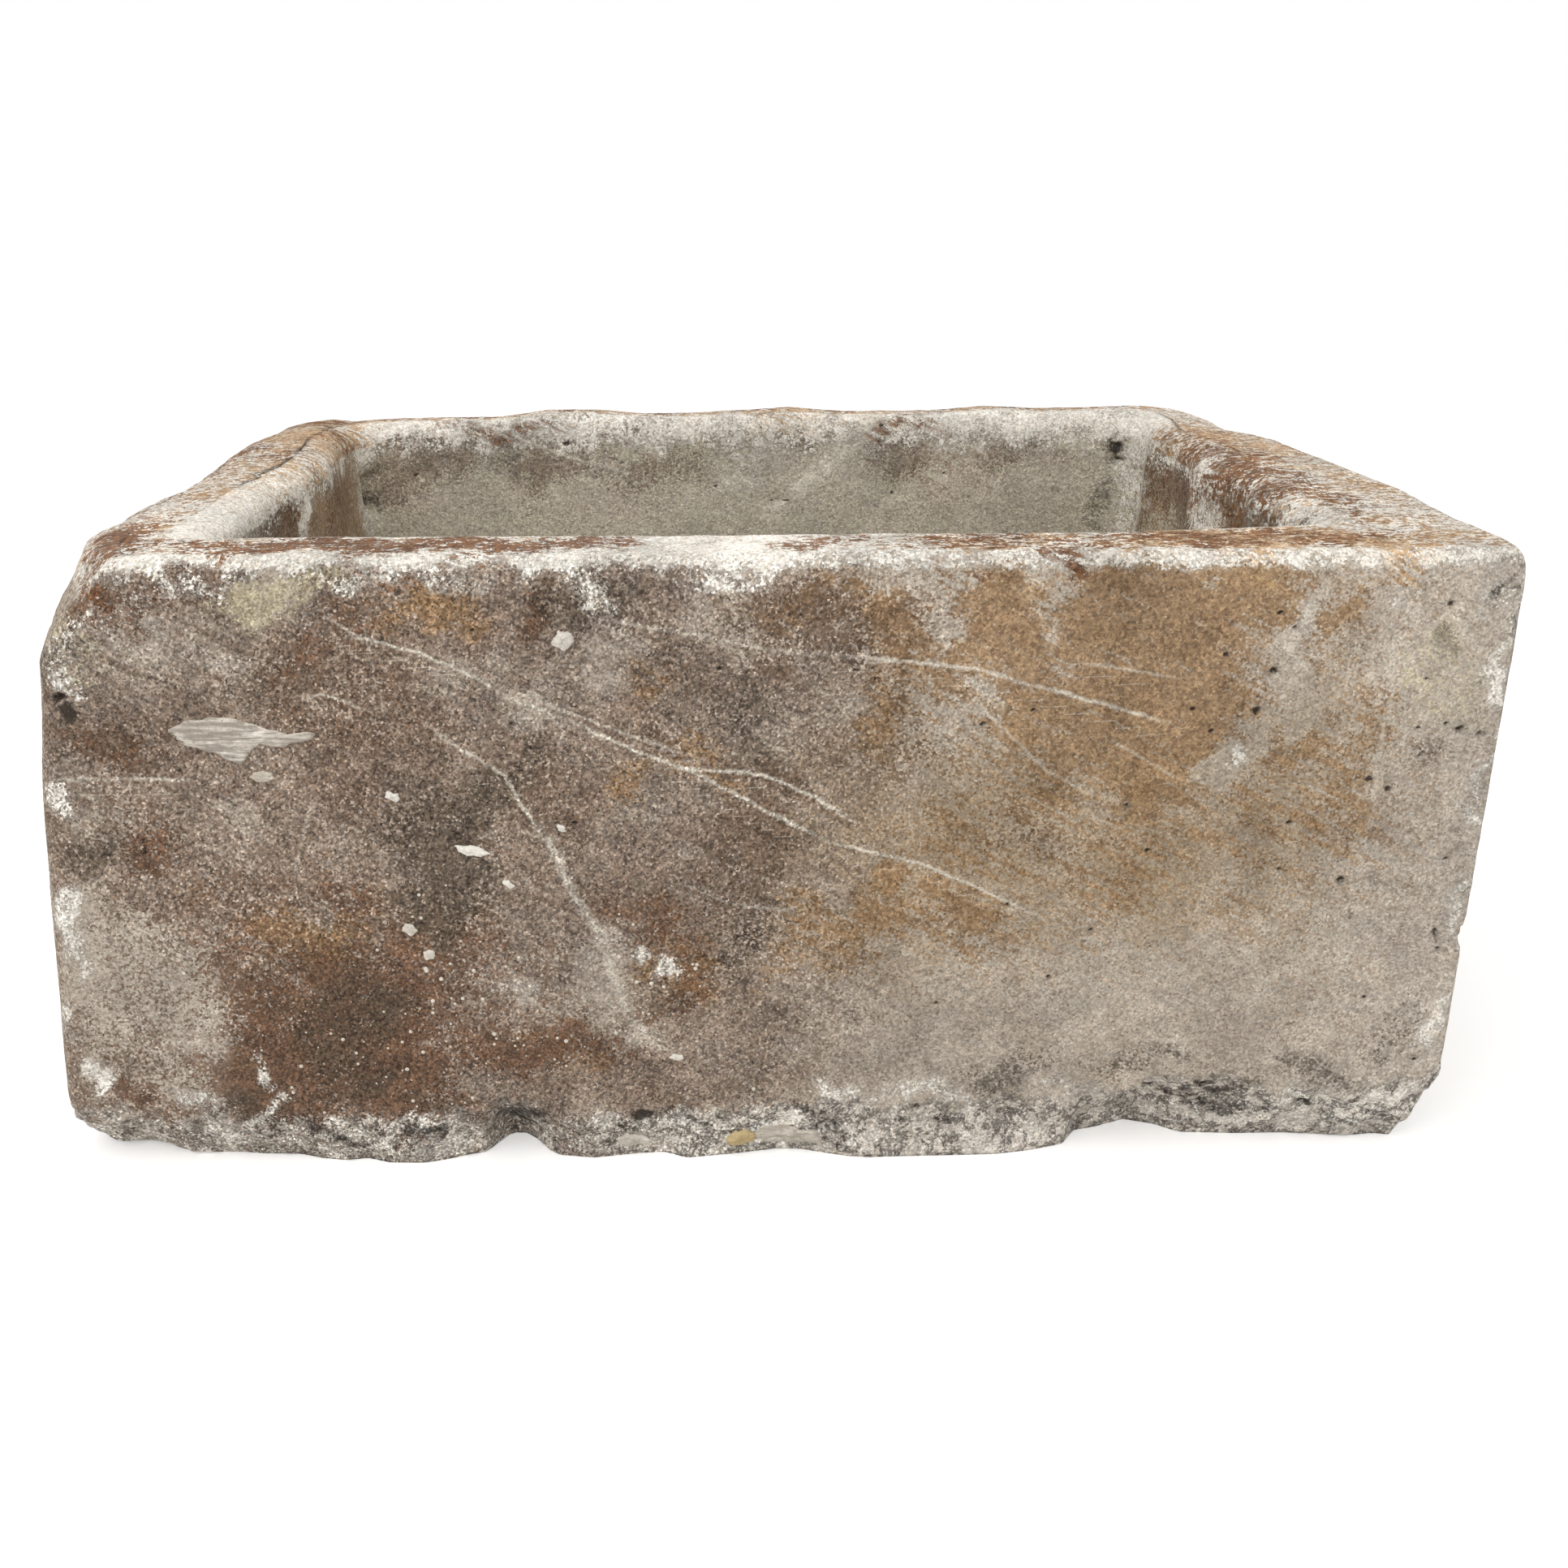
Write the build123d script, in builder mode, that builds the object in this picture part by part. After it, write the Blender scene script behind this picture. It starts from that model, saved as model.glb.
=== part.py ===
from build123d import *

import os
from math import cos, pi, sin, sqrt

# A stone trough planter hewn from one block, with the old mortar that still clings to it.
# Millimetres, +Z up, front towards -Y. The origin lies under the middle of the foot.

# The block
block_length = 1067.0  # along the foot of the front
block_depth = 640.0
front_rim_height = 484.0
back_rim_height = 493.0
left_batter = 31.0  # lean of the left end from foot to rim, inwards
right_taper = 24.0  # how much further in the right end is at the back than at the front
front_left_radius = 22.0
front_right_radius = 9.0
back_radius = 24.0

# The basin, with its walls measured at the rim
left_wall = 106.0
right_wall = 108.0
front_wall = 72.0
back_wall = 52.0
floor_thickness = 140.0
basin_draft = 18.0
basin_corner_radius = 40.0
floor_radius = 34.0

# The drain through the floor
drain_radius = 16.0
floor_fall = 9.0
fall_radius = 170.0

# Wear of the arrises: how deep it reaches below the rim and how far in from each side
outer_wear_drop = 24.0
outer_wear_left = 52.0
outer_wear_right = 8.0
outer_wear_front = 12.0
outer_wear_back = 14.0
inner_wear_drop = 20.0
inner_wear_left = 28.0
inner_wear_right = 26.0
inner_wear_front = 12.0
inner_wear_back = 15.0
wear_steps = 5

# Spalls broken out of the arrises
spall_reach = 50.0  # rise and bite of a deep one

# The old mortar on the front
mortar_thickness = 4.0
smear_thickness = 2.0
smear_length = 100.0
smear_height = 38.0
splash_size = 20.0  # length of the largest splash
bed_size = 46.0  # length of the largest lump of bedding mortar

# Sizes that follow from those above
overrun = outer_wear_drop
left_x = -block_length / 2
right_x = block_length / 2
front_y = -(block_depth - mortar_thickness) / 2
back_y = front_y + block_depth
basin_left = left_x + left_batter + left_wall
basin_right = right_x - right_wall
basin_front = front_y + front_wall
basin_back = back_y - back_wall
basin_centre = Vector((basin_left + basin_right) / 2, (basin_front + basin_back) / 2)
quarter_turn = [pi / 2 * step / wear_steps for step in range(wear_steps + 1)]


def level_plane(height):
    return Plane(origin=(0, front_y, height))


def rim_plane(drop):
    # Lies under the rim by the drop, and climbs with it from front to back
    climb = back_rim_height - front_rim_height
    return Plane(
        origin=(0, front_y, front_rim_height - drop),
        x_dir=(1, 0, 0),
        z_dir=(0, -climb, block_depth),
    )


def block_outline(plane, left_in=0, right_in=0, front_in=0, back_in=0):
    left = left_x + left_in
    right = right_x - right_in
    front = front_in
    back = block_depth - back_in
    corners = [(right, front), (right - right_taper, back), (left, back), (left, front)]
    with BuildSketch(plane) as outline:
        with BuildLine():
            Polyline(*corners, close=True)
        make_face()
        fillet(outline.vertices().group_by(Axis.Y)[-1], back_radius)
        fillet(outline.vertices().group_by(Axis.Y)[0].sort_by(Axis.X)[0], front_left_radius)
        fillet(outline.vertices().group_by(Axis.Y)[0].sort_by(Axis.X)[-1], front_right_radius)
    return outline.sketch


def basin_outline(plane, left_out=0, right_out=0, front_out=0, back_out=0):
    left = basin_left - left_out
    right = basin_right + right_out
    front = front_wall - front_out
    back = block_depth - back_wall + back_out
    with BuildSketch(plane) as outline:
        with Locations(((left + right) / 2, (front + back) / 2)):
            RectangleRounded(right - left, back - front, basin_corner_radius)
    return outline.sketch


# Sections of the block, from the foot up round its worn outer arris
block_sections = [block_outline(level_plane(0))]
for angle in quarter_turn:
    drop = outer_wear_drop * (1 - sin(angle))
    worn = 1 - cos(angle)
    block_sections.append(
        block_outline(
            rim_plane(drop),
            left_in=left_batter * (1 - drop / front_rim_height) + outer_wear_left * worn,
            right_in=outer_wear_right * worn,
            front_in=outer_wear_front * worn,
            back_in=outer_wear_back * worn,
        )
    )

# Sections of the basin, from its rounded floor up the drafted walls to the worn lip
basin_sections = []
for angle in quarter_turn:
    inset = basin_draft + floor_radius * (1 - sin(angle))
    height = floor_thickness + floor_radius * (1 - cos(angle))
    basin_sections.append(basin_outline(level_plane(height), -inset, -inset, -inset, -inset))
for angle in quarter_turn:
    worn = 1 - cos(angle)
    basin_sections.append(
        basin_outline(
            rim_plane(inner_wear_drop * (1 - sin(angle))),
            inner_wear_left * worn,
            inner_wear_right * worn,
            inner_wear_front * worn,
            inner_wear_back * worn,
        )
    )
basin_sections.append(
    basin_outline(
        rim_plane(-overrun), inner_wear_left, inner_wear_right, inner_wear_front, inner_wear_back
    )
)

# Spalls along each arris. A row holds the place along it and the half width, both as shares
# of its length, and the reach across its first and second face as shares of the spall reach.
front_foot_shares = [
    (0.000, 0.105, 0.90, 0.85),
    (0.119, 0.120, 0.50, 0.40),
    (0.327, 0.033, 1.05, 0.76),
    (0.407, 0.050, 0.30, 0.25),
    (0.769, 0.052, 0.80, 0.82),
    (0.819, 0.055, 1.00, 0.50),
    (0.898, 0.085, 0.60, 0.45),
    (0.995, 0.040, 0.95, 0.60),
]
back_foot_shares = [
    (0.080, 0.060, 0.45, 0.60),
    (0.340, 0.090, 0.55, 0.40),
    (0.720, 0.050, 0.80, 0.70),
    (0.985, 0.050, 0.70, 0.50),
]
left_foot_shares = [
    (0.290, 0.090, 0.50, 0.45),
    (0.700, 0.070, 0.70, 0.50),
]
right_foot_shares = [
    (0.230, 0.080, 0.65, 0.50),
    (0.560, 0.110, 0.45, 0.55),
]
front_right_edge_shares = [
    (0.380, 0.045, 0.16, 0.20),
    (0.910, 0.060, 0.20, 0.22),
]
front_left_edge_shares = [
    (0.960, 0.120, 0.44, 0.40),
]
back_rim_shares = [
    (0.218, 0.035, 0.16, 0.30),
    (0.432, 0.045, 0.14, 0.30),
    (0.980, 0.050, 0.24, 0.40),
]
right_lip_shares = [
    (0.330, 0.090, 0.36, 0.42),
    (0.570, 0.080, 0.34, 0.46),
    (0.850, 0.075, 0.42, 0.40),
]
left_lip_shares = [
    (0.760, 0.060, 0.56, 0.36),
]

frontward = Vector(0, -1, 0)
backward = Vector(0, 1, 0)
leftward = Vector(-1, 0, 0)
rightward = Vector(1, 0, 0)
upward = Vector(0, 0, 1)
downward = Vector(0, 0, -1)

# Each arris: where it starts and ends, outwards from its two faces, and its spalls
left_rim_x = left_x + left_batter
right_back_x = right_x - right_taper
front_foot = [(left_x, front_y, 0), (right_x, front_y, 0)]
back_foot = [(left_x, back_y, 0), (right_back_x, back_y, 0)]
arrises = [
    (*front_foot, frontward, downward, front_foot_shares),
    (*back_foot, backward, downward, back_foot_shares),
    (front_foot[0], back_foot[0], leftward, downward, left_foot_shares),
    (front_foot[1], back_foot[1], rightward, downward, right_foot_shares),
    (
        front_foot[1],
        (right_x, front_y, front_rim_height),
        frontward,
        rightward,
        front_right_edge_shares,
    ),
    (
        front_foot[0],
        (left_rim_x, front_y, front_rim_height),
        frontward,
        leftward,
        front_left_edge_shares,
    ),
    (
        (left_rim_x, back_y, back_rim_height),
        (right_back_x, back_y, back_rim_height),
        backward,
        upward,
        back_rim_shares,
    ),
    (
        (basin_right, basin_front, front_rim_height),
        (basin_right, basin_back, back_rim_height),
        leftward,
        upward,
        right_lip_shares,
    ),
    (
        (basin_left, basin_front, front_rim_height),
        (basin_left, basin_back, back_rim_height),
        rightward,
        upward,
        left_lip_shares,
    ),
]


def spall_ball(spot, first_out, second_out, half_width, first_reach, second_reach):
    # A spall leaves a hollow scar like the inside of a shell. One ball passes through both
    # ends of the broken arris and through the far side of the scar on each of the two faces.
    second_shift = (half_width**2 - first_reach**2) / (2 * first_reach)
    first_shift = (half_width**2 - second_reach**2) / (2 * second_reach)
    centre = spot + first_out * first_shift + second_out * second_shift
    return centre, sqrt(half_width**2 + first_shift**2 + second_shift**2)


with BuildPart() as trough_block:
    loft(block_sections, ruled=True)
    loft(basin_sections, ruled=True, mode=Mode.SUBTRACT)
    with Locations((basin_centre.X, basin_centre.Y, floor_thickness - floor_fall / 2)):
        Cone(drain_radius, fall_radius, floor_fall, mode=Mode.SUBTRACT)
    with Locations((basin_centre.X, basin_centre.Y, floor_thickness)):
        Hole(drain_radius)
    for start, end, first_out, second_out, shares in arrises:
        run = Vector(*end) - Vector(*start)
        for place, half_width, first_reach, second_reach in shares:
            ball_centre, ball_radius = spall_ball(
                Vector(*start) + run * place,
                first_out,
                second_out,
                run.length * half_width,
                spall_reach * first_reach,
                spall_reach * second_reach,
            )
            with Locations(ball_centre):
                Sphere(ball_radius, mode=Mode.SUBTRACT)
trough_block.part.label = "trough_block"


def front_plane(across, up):
    # A plane on the front face, with its own Y up the face and its normal outwards
    spot = (left_x + across * block_length, front_y, up * front_rim_height)
    return Plane(origin=spot, x_dir=(1, 0, 0), z_dir=(0, -1, 0))


# A trowel smear of pointing mortar, brushed out to the right
smear_place_shares = (0.162, 0.730)
smear_outline_shares = [
    (-0.50, 0.18),
    (-0.30, 0.50),
    (0.00, 0.40),
    (0.50, 0.12),
    (0.30, -0.20),
    (0.02, -0.50),
    (-0.36, -0.10),
]
with BuildPart() as mortar_smear:
    with BuildSketch(front_plane(*smear_place_shares)):
        with BuildLine():
            Spline(
                *[(smear_length * x, smear_height * y) for x, y in smear_outline_shares],
                periodic=True,
            )
        make_face()
    extrude(amount=smear_thickness)
mortar_smear.part.label = "mortar_smear"

# Splashes of lime: place across and up the front, then length, height and thickness
splash_shares = [
    (0.372, 0.878, 0.70, 0.70, 1.00),
    (0.306, 0.552, 1.00, 0.45, 0.70),
    (0.254, 0.640, 0.45, 0.40, 0.50),
    (0.328, 0.496, 0.40, 0.30, 0.40),
    (0.366, 0.587, 0.34, 0.25, 0.40),
    (0.260, 0.421, 0.55, 0.35, 0.30),
    (0.271, 0.378, 0.45, 0.40, 0.40),
    (0.442, 0.192, 0.40, 0.26, 0.40),
]
splash_top_share = 0.55
with BuildPart() as lime_splashes:
    for across, up, length, height, thickness in splash_shares:
        seat = front_plane(across, up)
        crown = seat.offset(mortar_thickness * thickness)
        with BuildSketch(seat):
            Ellipse(splash_size * length / 2, splash_size * height / 2)
        with BuildSketch(crown):
            Ellipse(
                splash_size * length / 2 * splash_top_share,
                splash_size * height / 2 * splash_top_share,
            )
        loft(ruled=True)
lime_splashes.part.label = "lime_splashes"

# Lumps of the mortar that the trough was once bedded in: place, then length and height
bed_place_shares = [
    (0.410, 0.034, 0.50, 0.22),
    (0.489, 0.036, 0.52, 0.30),
    (0.523, 0.040, 1.00, 0.36),
]
bed_outline_shares = [
    (-0.50, -0.20),
    (-0.28, 0.42),
    (0.16, 0.50),
    (0.50, 0.08),
    (0.34, -0.50),
    (-0.30, -0.46),
]
bed_top_share = 0.7
with BuildPart() as bedding_mortar:
    for across, up, length, height in bed_place_shares:
        seat = front_plane(across, up)
        for plane, narrowing in ((seat, 1), (seat.offset(mortar_thickness), bed_top_share)):
            with BuildSketch(plane):
                with BuildLine():
                    Polyline(
                        *[
                            (bed_size * length * x * narrowing, bed_size * height * y * narrowing)
                            for x, y in bed_outline_shares
                        ],
                        close=True,
                    )
                make_face()
        loft(ruled=True)
bedding_mortar.part.label = "bedding_mortar"

os.makedirs("parts", exist_ok=True)
for piece in (trough_block, mortar_smear, lime_splashes, bedding_mortar):
    export_step(piece.part, f"parts/{piece.part.label}.step")
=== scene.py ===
import bpy
import numpy as np
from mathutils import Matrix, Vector
from mathutils.bvhtree import BVHTree


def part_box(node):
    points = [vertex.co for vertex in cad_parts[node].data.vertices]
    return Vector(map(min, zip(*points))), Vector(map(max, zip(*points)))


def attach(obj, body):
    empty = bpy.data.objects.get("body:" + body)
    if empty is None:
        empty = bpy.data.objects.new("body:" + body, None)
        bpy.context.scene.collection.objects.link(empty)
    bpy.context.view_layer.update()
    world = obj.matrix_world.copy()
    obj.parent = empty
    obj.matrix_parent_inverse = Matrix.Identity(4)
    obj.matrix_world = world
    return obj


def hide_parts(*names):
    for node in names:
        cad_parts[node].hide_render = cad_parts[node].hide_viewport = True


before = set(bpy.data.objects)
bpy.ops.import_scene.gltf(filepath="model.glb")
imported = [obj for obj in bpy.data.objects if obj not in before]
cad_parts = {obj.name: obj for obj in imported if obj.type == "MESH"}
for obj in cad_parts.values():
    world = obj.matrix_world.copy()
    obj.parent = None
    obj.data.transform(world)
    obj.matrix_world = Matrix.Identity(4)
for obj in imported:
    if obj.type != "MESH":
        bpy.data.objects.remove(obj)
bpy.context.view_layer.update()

# A weathered stone trough hewn from one block, with old mortar on its front.
# The tables are in millimetres, the meshes in metres.
mm = 0.001
outOfReach = 1e4  # farther than any two points of the trough lie apart
blockLow, blockHigh = (np.array(corner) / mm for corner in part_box("trough_block"))
leftEnd, rightEnd = blockLow[0], blockHigh[0]
frontFace, backFace = blockLow[1], blockHigh[1]
backHeight = blockHigh[2]
print("frame loaded, the block measures", np.round(blockHigh - blockLow, 1), "mm")


def ease(low, high, value):
    share = np.clip((value - low) / (high - low), 0, 1)
    return share * share * (3 - 2 * share)


def follow(table, value):
    # Reads a table of (place, amount) rows
    places, amounts = zip(*table)
    return np.interp(value, places, amounts)


def wobble(place, length, phase):
    # A smooth uneven line between -1 and 1, with waves of about that length
    turn = place * 2 * np.pi / length
    waves = np.sin(turn + phase) + 0.7 * np.sin(2.17 * turn + 2.3 * phase) + 0.4 * np.sin(4.9 * turn)
    return waves / 2.1


def linear(hexColour):
    channels = [int(hexColour[i : i + 2], 16) / 255 for i in (1, 3, 5)]
    return [c / 12.92 if c <= 0.04045 else ((c + 0.055) / 1.055) ** 2.4 for c in channels] + [1.0]


def addNode(tree, kind, inputs, **settings):
    # One node with its settings, its values and the links that reach it
    node = tree.nodes.new(kind)
    for name, value in settings.items():
        setattr(node, name, value)
    for key, value in inputs.items():
        if isinstance(value, bpy.types.Node):
            value = value.outputs[0]
        if isinstance(value, bpy.types.NodeSocket):
            tree.links.new(value, node.inputs[key])
        else:
            node.inputs[key].default_value = value
    return node


def emptyTree(owner):
    # The node tree of a new material or world, with nothing in it yet
    owner.use_nodes = True
    owner.node_tree.nodes.clear()
    return owner.node_tree


def addField(mesh, name, values):
    # A number for each vertex, which nodes and materials read by its name
    mesh.attributes.new(name, "FLOAT", "POINT").data.foreach_set("value", values)


def addObject(name, data):
    made = bpy.data.objects.new(name, data)
    bpy.context.scene.collection.objects.link(made)
    return made


# The trough

stoneShape = {
    "frontHeight": 484.0,
    "leftLean": 31.0,
    "rightTaper": 24.0,
    "cornerRadii": (22.0, 9.0, 24.0, 24.0),  # front left, front right, back right, back left
    "walls": (106.0, 108.0, 72.0, 52.0),  # left, right, front and back, at the rim
    "outerWear": (52.0, 8.0, 12.0, 14.0),
    "outerWearDrop": 24.0,
    "lipWear": (28.0, 26.0, 12.0, 15.0),
    "lipWearDrop": 20.0,
    "draft": 18.0,
    "basinRadius": 40.0,
    "floorHeight": 140.0,
    "floorRadius": 34.0,
    "drainRadius": 16.0,
    "floorFall": 9.0,
    "fallRadius": 170.0,
    # Where the rows of the outside get farther apart and closer again, and how those of the basin spread
    "bandTop": 60.0,
    "wallTop": 430.0,
    "basinSpread": 1.35,
}
meshRows = {
    "band": 26, "wall": 68, "shoulder": 8, "arris": 9, "rim": 18, "lip": 8,
    "basin": 28, "floorTurn": 6, "floor": 14, "drain": 4, "under": 10,
}
meshColumns = {"front": 240, "side": 56, "back": 90, "corner": 6}

# The broken foot of the front: along X, how far the foot is bitten back,
# how high the break rises, and how much it undercuts the face
footBite = [
    (-534, 44), (-520, 41), (-500, 38), (-472, 35), (-458, 27), (-436, 20), (-405, 20), (-386, 17),
    (-359, 16), (-340, 10), (-322, 7), (-304, 9), (-286, 3), (-259, 2), (-242, 6), (-225, 12),
    (-212, 15), (-201, 34), (-192, 39), (-183, 38), (-173, 29), (-163, 15), (-154, 9), (-127, 5),
    (-91, 10), (-73, 11), (-55, 3), (-20, 7), (17, 13), (34, 12), (69, 2), (87, 0), (186, 1),
    (213, 5), (243, 13), (256, 30), (276, 35), (300, 44), (323, 37), (340, 26), (383, 23),
    (420, 23), (492, 18), (513, 20), (526, 18), (534, 16),
]
footRise = [
    (-534, 62), (-450, 46), (-300, 44), (-240, 46), (-196, 60), (-150, 42), (-100, 44), (0, 44),
    (56, 54), (100, 44), (200, 50), (250, 54), (300, 62), (350, 68), (400, 54), (460, 50),
    (510, 58), (534, 80),
]
footUndercut = [
    (-534, 0.7), (-230, 1.0), (-190, 1.6), (-150, 1.0), (250, 1.0), (290, 3.0), (350, 3.4),
    (385, 1.4), (440, 1.0), (534, 0.7),
]
# The other feet are only chipped: how high and how deep, and how much both swing along the edge
chips = {"rise": 24, "riseSwing": 9, "depth": 7, "depthSwing": 5}
# The lower corners of the front, rounded off: by how much, up to what height and how sharply
footCorners = {"left": (14, 54, 1.8), "right": (18, 85, 1.6)}
# The uneven edges: along each, how far it lies from the straight line of the hewn block
backRimRise = [
    (-500, -7), (-440, -7), (-413, -9), (-360, -6), (-256, -5), (-203, 2), (-150, 3), (-98, -1), (-45, -1),
    (8, 1), (60, 4), (113, 0), (220, 0), (272, 5), (326, 2), (379, 3), (432, 5), (487, 3), (509, -2),
]
leftRimPull = [
    (-318, 15), (-290, 9), (-255, -5), (-225, -9), (-189, -11), (-160, 1), (-120, -3), (-83, 3),
    (-50, 13), (0, 16), (45, 14), (94, 11), (146, 8), (202, 8), (322, 12),
]
rightRimPull = [
    (-318, 1), (-276, -5), (-214, -4), (-180, -7), (-144, -12), (-107, -15), (-24, -13), (21, -11),
    (70, -7), (122, -9), (150, 0), (180, 16), (240, 10), (322, 15),
]
leftShoulderPull = [
    (370, -3), (410, -6), (433, 0), (448, 10), (456, 18), (467, 27), (478, 20), (486, 2),
]
leftLipPull = [
    (-246, 0), (-120, 2), (-60, 3), (-36, 9), (-28, 1), (0, 12), (60, 15), (110, 12), (160, 3),
    (270, 0),
]
rightLipPull = [
    (-246, 0), (-160, 2), (-100, -10), (-60, 3), (-10, -3), (40, -11), (80, 2), (140, 3),
    (180, -9), (220, 2), (270, 0),
]
frontLipPull = [(-404, 14), (-364, 2), (256, 0), (306, -8), (406, -20), (456, -26)]
leftRimDip = 4  # how much lower the left rim gets towards the front

# Where balls of stone broke out: the spot, the outward axes of the two faces, the half width and
# the reach over each face
spalls = [
    ((-450, 322, 0), "+y-z", 63, 22, 30), ((-179, 322, 0), "+y-z", 94, 27, 20),
    ((217, 322, 0), "+y-z", 52, 40, 35), ((494, 322, 0), "+y-z", 52, 35, 25),
    ((-533, -132, 0), "-x-z", 58, 25, 22), ((-533, 130, 0), "-x-z", 45, 35, 25),
    ((528, -171, 0), "+x-z", 51, 32, 25), ((520, 40, 0), "+x-z", 70, 22, 28),
    ((533, -318, 184), "-y+x", 22, 7, 10), ((533, -318, 440), "-y+x", 29, 8, 6),
    ((-282, 322, 493), "+y+z", 36, 8, 15), ((-66, 322, 493), "+y+z", 46, 7, 15),
    ((490, 322, 493), "+y+z", 50, 12, 20),
]

# Pits on the front: X, Z, half length, depth
frontPits = [
    (361, 441, 4.4, 4), (372, 431, 3.4, 3), (326, 411, 4.4, 4), (361, 399, 6.0, 5),
    (306, 371, 3.6, 3), (193, 371, 3.4, 3), (352, 369, 6.0, 4), (157, 361, 3.8, 3),
    (321, 354, 4.0, 3), (501, 354, 6.4, 6), (490, 358, 3.0, 3), (516, 350, 5.0, 5),
    (480, 447, 4.4, 3), (266, 297, 3.8, 3), (386, 282, 3.8, 3), (284, 261, 4.0, 3),
    (431, 235, 7.4, 6), (383, 245, 3.0, 3), (508, 192, 5.0, 5), (512, 177, 3.2, 3),
    (462, 136, 3.8, 3), (247, 197, 3.4, 3), (508, 81, 3.2, 3), (183, 219, 3.2, 3),
    (-199, 433, 3.2, 3), (-29, 404, 3.4, 3), (-175, 364, 3.2, 3), (80, 395, 3.0, 2),
    (-487, 386, 8.0, 7), (521, 462, 8.0, 6), (350, 58, 8.0, 6), (-442, 268, 3.2, 3),
    (37, 270, 3.0, 2), (75, 461, 3.0, 2), (-134, 288, 3.4, 3), (-410, 331, 4.0, 2),
    (470, 355, 3.0, 2), (471, 392, 4.0, 2), (455, 308, 5.0, 3), (440, 316, 6.0, 2),
    (218, 158, 3.2, 2), (134, 137, 3.2, 2), (-442, 278, 3.0, 2), (506, 252, 4.0, 3),
]
backWallPits = [
    (-402, 430, 5.0, 4), (-402, 405, 5.0, 4), (410, 462, 9.0, 8), (411, 447, 5.0, 5),
    (156, 482, 4.0, 3), (-179, 465, 6.0, 3), (224, 432, 4.0, 2), (169, 411, 4.0, 2),
    (-20, 419, 4.0, 2), (57, 403, 3.4, 2), (40, 404, 3.4, 2), (-340, 432, 4.0, 2),
]


def ringOutline(left, right, front, back, radii):
    # A rounded rectangle anticlockwise from its front left, every ring with the same columns
    frontLeft, frontRight, backRight, backLeft = radii
    runs = [
        ((left + frontLeft, front), (right - frontRight, front), meshColumns["front"]),
        ((right, front + frontRight), (right, back - backRight), meshColumns["side"]),
        ((right - backRight, back), (left + backLeft, back), meshColumns["back"]),
        ((left, back - backLeft), (left, front + frontLeft), meshColumns["side"]),
    ]
    turns = [
        (right - frontRight, front + frontRight, frontRight, -90),
        (right - backRight, back - backRight, backRight, 0),
        (left + backLeft, back - backLeft, backLeft, 90),
        (left + frontLeft, front + frontLeft, frontLeft, 180),
    ]
    points = []
    for (start, end, count), (x, y, radius, angle) in zip(runs, turns):
        share = np.arange(count)[:, None] / count
        points.append(np.array(start) * (1 - share) + np.array(end) * share)
        turn = np.radians(angle + 90 * np.arange(meshColumns["corner"]) / meshColumns["corner"])
        points.append(np.stack([x + radius * np.cos(turn), y + radius * np.sin(turn)], 1))
    return np.concatenate(points)


def rimHeight(y):
    climb = (backHeight - stoneShape["frontHeight"]) / (backFace - frontFace)
    return stoneShape["frontHeight"] + climb * (y - frontFace)


def blockRing(share, worn, drop):
    # A ring of the outside, at a share of its height under the worn arris
    shape = stoneShape
    left, right, front, back = (worn * wear for wear in shape["outerWear"])
    lean = shape["leftLean"] * share
    ring = ringOutline(
        leftEnd + lean + left, rightEnd - right, frontFace + front, backFace - back, shape["cornerRadii"]
    )
    depth = (ring[:, 1] - frontFace) / (backFace - frontFace)
    ring[:, 0] -= shape["rightTaper"] * depth * np.clip(ring[:, 0] / rightEnd, 0, 1) ** 4
    return np.column_stack([ring, share * (rimHeight(ring[:, 1]) - drop)])


def basinRing(worn, inset):
    # A ring of the basin, widened by the wear of its lip or drawn in by the draft
    left, right, front, back = (
        wall - worn * wear + inset for wall, wear in zip(stoneShape["walls"], stoneShape["lipWear"])
    )
    radii = (stoneShape["basinRadius"],) * 4
    return ringOutline(
        leftEnd + stoneShape["leftLean"] + left, rightEnd - right, frontFace + front, backFace - back, radii
    )


def between(start, end, shares):
    return [start * (1 - share) + end * share for share in shares]


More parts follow.
